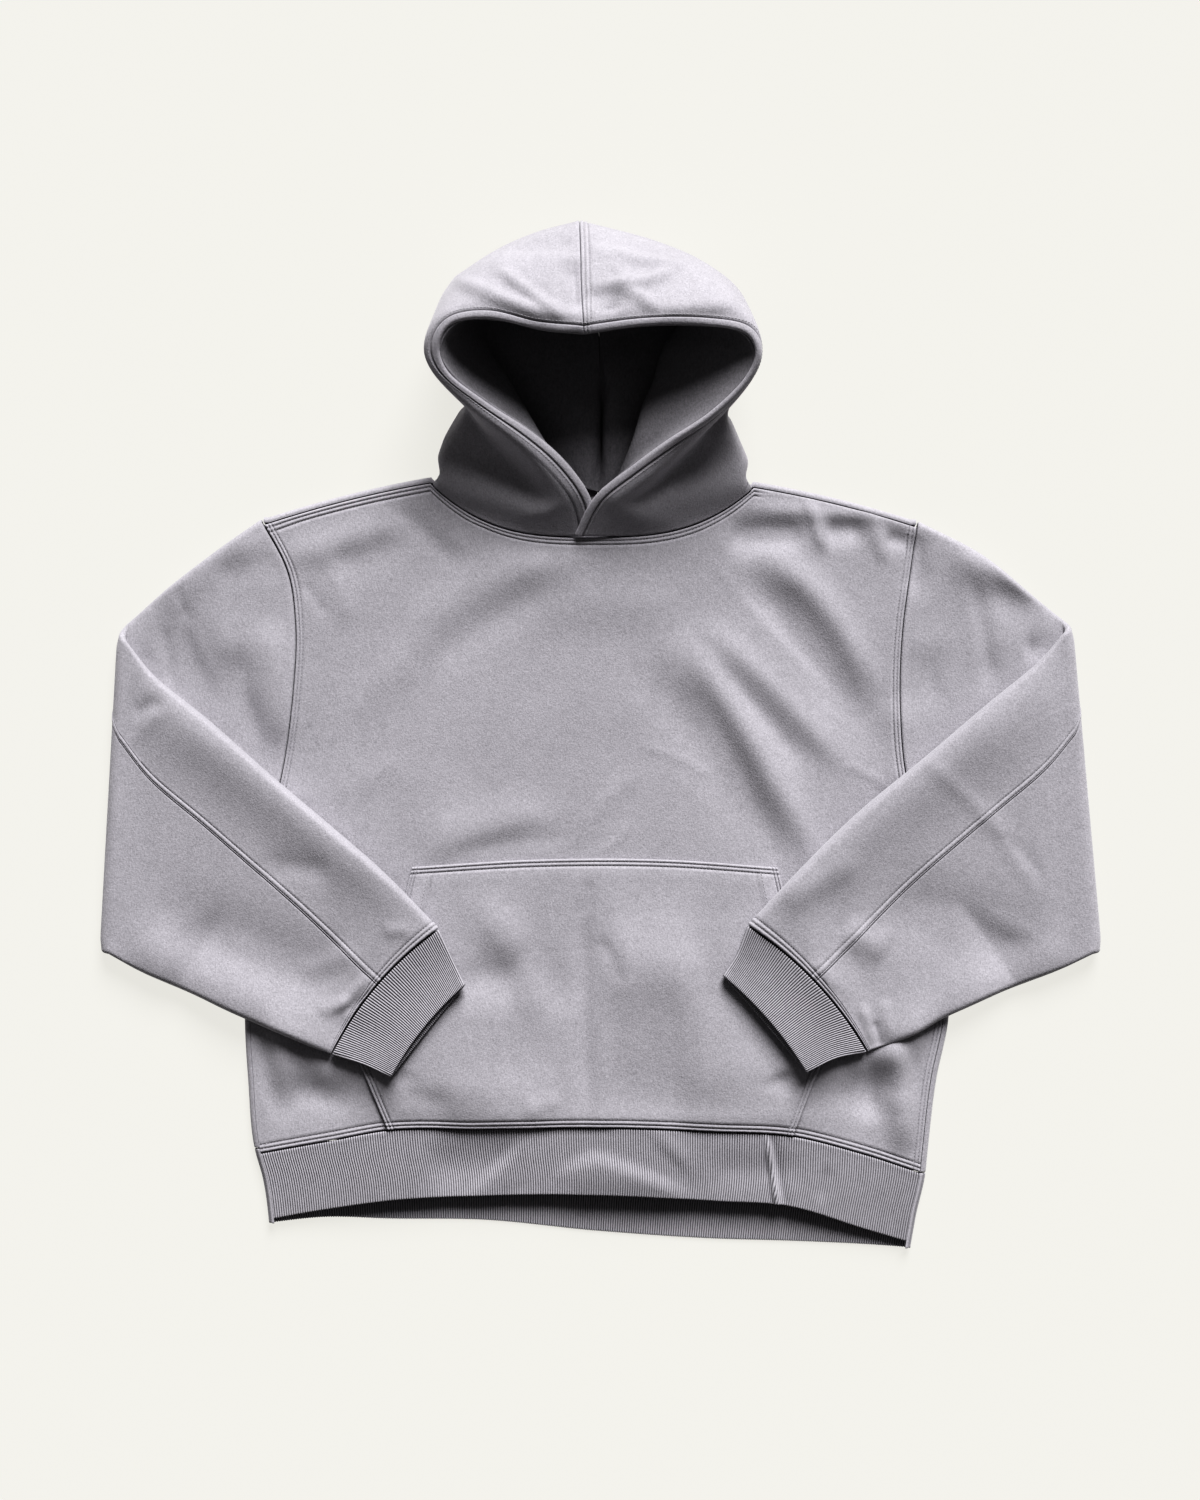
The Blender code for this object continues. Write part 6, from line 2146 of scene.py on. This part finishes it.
@dataclass
class Hood(SubAssembly):
    """The hood: an outer layer and a lining, a left and a right panel of each."""

    step: float = 3.0
    row_run: float = 330.0
    crown_strip: float = 0.55
    seam_start: float = 8.0
    longest: Point = (270.0, 220.0)
    samples: int = 240
    turn: float = 0.6
    edge_fade: float = 0.14
    lining_shares: tuple[float, ...] = (0.12, 0.2, 0.3, 0.4, 0.5, 0.6, 0.72, 0.82, 0.91, 1.0)
    lining_floor: float = 4.8
    rim_offsets: tuple[float, ...] = (*SEAM_OFFSETS, 10.8, 12.0, 13.2, 14.4, 16.0)
    # On the left: distance of the facing's edge from the rim at its low end, its depth, and the
    # share of the rim over which it fades
    band: Point3 = (13.5, 1.1, 0.42)
    # Distance of the lining's rim from the outer one, and how far down it lies for that
    rim_step: float = 3.4
    rim_slope: float = -0.5
    rim_steps: int = 6
    # The column towards which the rim's roll is square
    rim_reach: int = 4
    hollow_round: Point = (10.0, 8.0)
    # Height over the floor at which the crown's creases start, and where they are whole
    creased_from: Point = (30.0, 20.0)
    # Width of the lining's facing, its height and the run over which it drops, and the depth,
    # distance and half width of the groove beside it
    facing: float = 25.0
    facing_rise: Point = (0.8, 1.5)
    facing_groove: Point3 = (1.1, 2.0, 1.8)
    outer_cut: Cut = Cut(0.36, 0.34, 0.085)
    lining_cut: Cut = Cut(0.3, 0.3, 0.062)

    def neck_edge(self, side: Side, columns: Array, guide: Array) -> Array:
        """The hood's neck edge: along the front neckline, round its point, along the back.

        Args:
            side: the panel's side.
            columns: column shares from the rim to the back seam.
            guide: the panel's first row.

        Returns:
            The edge's points.
        """
        point_x = NECK.middle + side.sign * (NECK.half - 2 * NECK_SEAM)
        front = np.clip(columns / self.turn, 0.0, 1.0)
        back = np.clip((columns - self.turn) / (1 - self.turn), 0.0, 1.0)
        start_x, end_x = guide[0][0], OUTER_BACK[0][0]
        front_x = start_x + (point_x - start_x) * front
        front_y = PLAN.front_top(front_x) + NECK_SEAM - SEAM / 2
        front_z = LAYERS.upper(front_x, front_y, ())
        # The rim's height fades over the first third, and the neck point's lift over the last quarter
        front_z = front_z + (guide[:, 2] - front_z) * smoothstep(1 - front * 3)
        front_z = front_z + NECK.point_lift * smoothstep(4 * front - 3)
        back_x = point_x + (end_x - point_x) * back
        back_y = NECK.back(back_x) + NECK_SEAM + SEAM / 2
        back_z = FLOOR + roll_arc(NECK.shoulder_share(back_x), 1.0, ROLL)[1]
        on_front = columns <= self.turn
        pairs = ((front_x, back_x), (front_y, back_y), (front_z, back_z))
        return np.column_stack([np.where(on_front, front, back) for front, back in pairs])

    def outer_grid(self, side: Side, rows: Array) -> Array:
        """Middle of an outer panel, from the rim to the back seam.

        Args:
            side: the panel's side.
            rows: row shares from 0 at the front neckline to 1 at the crown.

        Returns:
            The grid.
        """
        columns = np.linspace(0.0, 1.0, self.samples)
        table = [list(row) for row in OUTER_HOOD[side]] + [list(OUTER_CROWN)]
        for row, (x, y) in zip(table, OUTER_BACK):
            row.append((x, y, FLOOR))
        grid = spread_table(table, rows, columns)
        fade = (1 - smoothstep(rows / self.edge_fade))[:, None, None]
        edge = self.neck_edge(side, columns, grid[0])
        grid = grid + (edge - grid[0])[None] * fade
        return self.apart(grid, side, FLOOR)

    @staticmethod
    def apart(grid: Array, side: Side, floor: float) -> Array:
        """Keeps a panel over a floor and moves it off the seam between left and right.

        Args:
            grid: the panel, which is changed.
            side: the panel's side.
            floor: the least height of its middle.

        Returns:
            The panel.
        """
        grid[..., 2] = np.maximum(grid[..., 2], floor)
        grid[:, -1, 0] += side.sign * HOOD_SEAM / 2
        grid[-1, :-1, 0] += side.sign * HOOD_SEAM / 2
        return grid

    def lining_grid(self, side: Side, rows: Array) -> Array:
        """Middle of a lining panel, from the rim to the back seam.

        Args:
            side: the panel's side.
            rows: row shares from 0 at the front neckline to 1 at the crown.

        Returns:
            The grid.
        """
        shares = np.array(self.lining_shares)
        sections = [list(row) for row in OUTER_HOOD[side]] + [list(OUTER_CROWN)]
        rim = spread_table(sections, shares, np.array((0.0,)))[:, 0]
        tangent = np.gradient(rim, axis=0)
        inward = unit(np.column_stack((-tangent[:, 1], tangent[:, 0])) * side.sign)
        rim = rim + self.rim_step * np.column_stack((inward, np.full(len(rim), self.rim_slope)))
        rim[-1, :2] = OUTER_CROWN[0][0], OUTER_CROWN[0][1] - self.rim_step
        out, up = self.hollow_round
        table = []
        for start, row, (x, y) in zip(rim, LINING_HOOD[side] + (LINING_CROWN,), LINING_BACK):
            facing, fold, hollow, roll = row
            turned = (hollow[0], hollow[1], hollow[2] + up)
            floor = (hollow[0] - side.sign * out, hollow[1], self.lining_floor)
            if row is LINING_CROWN:
                floor = (hollow[0], hollow[1] - out, self.lining_floor)
            table.append([start, facing, fold, turned, floor, roll, (x, y, self.lining_floor)])
        grid = spread_table(table, rows, np.linspace(0.0, 1.0, self.samples))
        return self.apart(grid, side, self.lining_floor)

    def rim_roll(self, outer: Array) -> Array:
        """Columns that turn from the lining's edge round the rim to the outer panel.

        Args:
            outer: the outer panel.

        Returns:
            The columns.
        """
        start = outer[:, 0]
        out = unit(start - outer[:, self.rim_reach])
        tangent = unit(np.gradient(start, axis=0))
        under = np.cross(tangent, out)
        under = under * np.sign(-under[:, 2:])
        radius = self.rim_step / 2
        found = []
        for angle in np.linspace(pi, 0.0, self.rim_steps + 1)[:-1]:
            arc = start + under * radius * (1 - np.cos(angle)) + out * radius * np.sin(angle)
            found.append(arc[:, None])
        return np.hstack(found)

    def crown_folds(self, grid: Array) -> Array:
        """Heights of the crown's creases, placed as they are seen from above.

        Args:
            grid: the outer panel.

        Returns:
            The height at each of its points.
        """
        nearer = 1 - grid[..., 2] / CAMERA_HEIGHT
        y = (grid[..., 1] - CAMERA_Y) / nearer + CAMERA_Y
        start, run = self.creased_from
        shown = smoothstep((grid[..., 2] - start) / run)
        return fold_height(grid[..., 0] / nearer, y, CROWN_CREASES) * shown

    def even_rows(self, grid: Array, rim: Array, longest: float) -> Array:
        """Reads a panel's rows again, crowded at the rim and at the back seam.

        Args:
            grid: the panel.
            rim: distances from the rim.
            longest: length of the longest row, which sets the number of columns.

        Returns:
            The panel on its new columns.
        """
        near = np.array(SEAM_OFFSETS)
        count = int((longest - rim[-1] - near[-1]) / self.step)

        def places(length: float) -> Array:
            """Distances along a row of this length."""
            inner = np.linspace(rim[-1], length - near[-1], count + 2)[1:-1]
            return np.concatenate((rim, inner, (length - near)[::-1]))

        return along_rows(grid, places)

    def build(self) -> None:
        """Builds the four panels."""
        rows = crowded(self.row_run, self.step) / self.row_run
        near = np.array(SEAM_OFFSETS)[::-1] / self.row_run
        rows[-len(near) :] = 1 - near * self.crown_strip
        for side in Side:
            self.build_outer(side, rows)
            self.build_lining(side, rows)

    def build_outer(self, side: Side, rows: Array) -> None:
        """Builds an outer panel with its rolled rim and stitches.

        Args:
            side: the panel's side.
            rows: row shares from 0 at the front neckline to 1 at the crown.
        """
        rim, count = np.array(self.rim_offsets), len(SEAM_OFFSETS)
        grid = self.even_rows(self.outer_grid(side, rows), rim, self.longest[0])
        normals = grid_normals(grid, False) * side.sign
        grid = grid + normals * self.crown_folds(grid)[..., None]
        relief = np.zeros(grid.shape[:2])
        relief[:, :count] = EdgeFinish.RIM.value
        strip = EdgeFinish.STITCHED if side is Side.RIGHT else EdgeFinish.PLAIN
        from_floor = smoothstep((grid[-count:, :, 2] - FLOOR) / self.seam_start)
        relief[-count:] += np.array(strip.value)[::-1, None] * from_floor
        relief[:count] += np.array(EdgeFinish.PLAIN.value)[:, None]
        if side is Side.LEFT:
            place, depth, fade = self.band
            groove = depth * np.exp(-((rim - place) ** 2))
            relief[:, : len(rim)] -= groove * (1 - smoothstep(rows / fade))[:, None]
        roll = self.rim_roll(grid)
        grid = np.hstack((roll, grid))
        relief = np.hstack((np.full(roll.shape[:2], EdgeFinish.RIM.value[0]), relief))
        rim_column, last = self.rim_steps + SECOND_STITCHES, Edge.END
        if side is Side.LEFT:
            grid, relief, last = grid[:, ::-1], relief[:, ::-1], Edge.START
            rim_column = -1 - rim_column
        square = {Edge.LOW: Y_AXIS, Edge.HIGH: X_AXIS, last: X_AXIS}
        wall = Wall(f"hood_{side.value}_cloth", grid, square=square, relief=relief)
        piece = wall.build()
        lines = [wall.column_line(rim_column)]
        if side is Side.RIGHT:
            seen = slice(int(np.argmax(grid[-1, :, 2] < self.seam_start)))
            lines += [wall.row_line(-1 - k, seen) for k in (FIRST_STITCHES, SECOND_STITCHES)]
        self.place(
            piece, f"hood_{side.value}", Slot.FLEECE, self.outer_cut, ["back_panel", "front_panel"],
            sewn=[self.sew(f"hood_{side.value}_stitches", lines)],
        )

    def build_lining(self, side: Side, rows: Array) -> None:
        """Builds a lining panel with the facing along its rim.

        Args:
            side: the panel's side.
            rows: row shares from 0 at the front neckline to 1 at the crown.
        """
        near = np.array(SEAM_OFFSETS)
        grid = self.even_rows(self.lining_grid(side, rows), near, self.longest[1])
        run = np.linalg.norm(np.diff(grid, axis=1), axis=2).cumsum(axis=1)
        run = np.hstack((np.zeros((len(grid), 1)), run))
        (rise, drop), (depth, beside, half_width) = self.facing_rise, self.facing_groove
        relief = rise * (1 - smoothstep((run - self.facing) / drop))
        relief -= depth * np.exp(-(((run - self.facing - beside) / half_width) ** 2))
        last = Edge.END
        if side is Side.LEFT:
            grid, relief, last = grid[:, ::-1], relief[:, ::-1], Edge.START
        square = {Edge.HIGH: X_AXIS, last: X_AXIS}
        wall = Wall(f"lining_{side.value}_cloth", grid, square=square, relief=relief)
        self.place(
            wall.build(), f"lining_{side.value}", Slot.LINING, self.lining_cut,
            [f"hood_{side.value}_cloth"],
        )


# ---- studio -------------------------------------------------------------------------------


@dataclass(frozen=True)
class Studio:
    """Pale floor, a low soft key light, a weak fill and a camera straight above."""

    view_height: float = 1.35
    sensor: float = 36.0
    floor_half: float = 4.0
    floor_drop: float = 0.0004
    floor_colour: Point3 = (0.07, 0.07, 0.07)
    floor_roughness: float = 0.95
    floor_glow: float = 0.485
    glow_colour: Point3 = (1.0, 0.99, 0.945)
    key_from: Point3 = (0.3, 1.4, 1.0)
    key_strength: float = 4.0
    key_angle: float = 32.0
    fill_from: Point3 = (-0.5, -0.3, 2.8)
    fill_power: float = 1.5
    fill_size: float = 2.0
    world_strength: float = 0.09
    world_colour: Point3 = (1.0, 0.995, 0.98)

    def build(self) -> None:
        """Builds the floor, the lights and the camera."""
        self.build_floor()
        key = bpy.data.lights.new("key_light", "SUN")
        key.energy, key.angle = self.key_strength, radians(self.key_angle)
        self.hang(key, self.key_from)
        fill = bpy.data.lights.new("fill_light", "AREA")
        fill.energy, fill.size = self.fill_power, self.fill_size
        self.hang(fill, self.fill_from)
        world = bpy.data.worlds.new("studio_air")
        bpy.context.scene.world = world
        world.use_nodes = True
        air = world.node_tree.nodes["Background"]
        air.inputs["Color"].default_value = (*self.world_colour, 1.0)
        air.inputs["Strength"].default_value = self.world_strength
        self.build_camera()
        view = bpy.context.scene.view_settings
        view.view_transform, view.look = "Standard", "Very High Contrast"
        LOG.info("studio built")

    def build_floor(self) -> None:
        """Builds the floor just under the garment."""
        half, low = self.floor_half, -self.floor_drop
        mesh = bpy.data.meshes.new("studio_floor")
        corners = [(-half, -half, low), (half, -half, low), (half, half, low), (-half, half, low)]
        mesh.from_pydata(corners, [], [(0, 1, 2, 3)])
        material = bpy.data.materials.new("pale_floor")
        material.use_nodes = True
        shader = material.node_tree.nodes["Principled BSDF"]
        for name, value in (
            ("Base Color", (*self.floor_colour, 1.0)),
            ("Roughness", self.floor_roughness),
            ("Specular IOR Level", 0.0),
            ("Emission Color", (*self.glow_colour, 1.0)),
            ("Emission Strength", self.floor_glow),
        ):
            shader.inputs[name].default_value = value
        mesh.materials.append(material)
        add_object("studio_floor", mesh)

    @staticmethod
    def hang(light: bpy.types.Light, place: Point3) -> None:
        """Puts a light in its place, pointing at the garment's middle.

        Args:
            light: the light.
            place: where it hangs, in metres.
        """
        lamp = add_object(light.name, light)
        lamp.location = place
        lamp.rotation_euler = Vector(place).to_track_quat("Z", "Y").to_euler()

    def build_camera(self) -> None:
        """Builds the camera, straight above the garment."""
        data = bpy.data.cameras.new("camera")
        data.sensor_width = self.sensor
        data.lens = self.sensor * CAMERA_HEIGHT * MM / self.view_height
        camera = add_object("camera", data)
        camera.location = Vector((-CENTRE[0], CAMERA_Y - CENTRE[1], CAMERA_HEIGHT)) * MM
        bpy.context.scene.camera = camera


def main() -> None:
    """Builds the garment's sub-assemblies in order, then the studio."""
    logging.basicConfig(level=logging.INFO, format="%(name)s %(message)s")
    wardrobe = Wardrobe.open()
    parts: list[SubAssembly] = [Body(wardrobe), Pocket(wardrobe)]
    for side in Side:
        parts += [Sleeve(wardrobe, side), Cuff(wardrobe, side)]
    parts += [Waistband(wardrobe), Hood(wardrobe)]
    for part in parts:
        part.build()
        LOG.info("%s done", type(part).__name__)
    Studio().build()


if __name__ == "__main__":
    main()
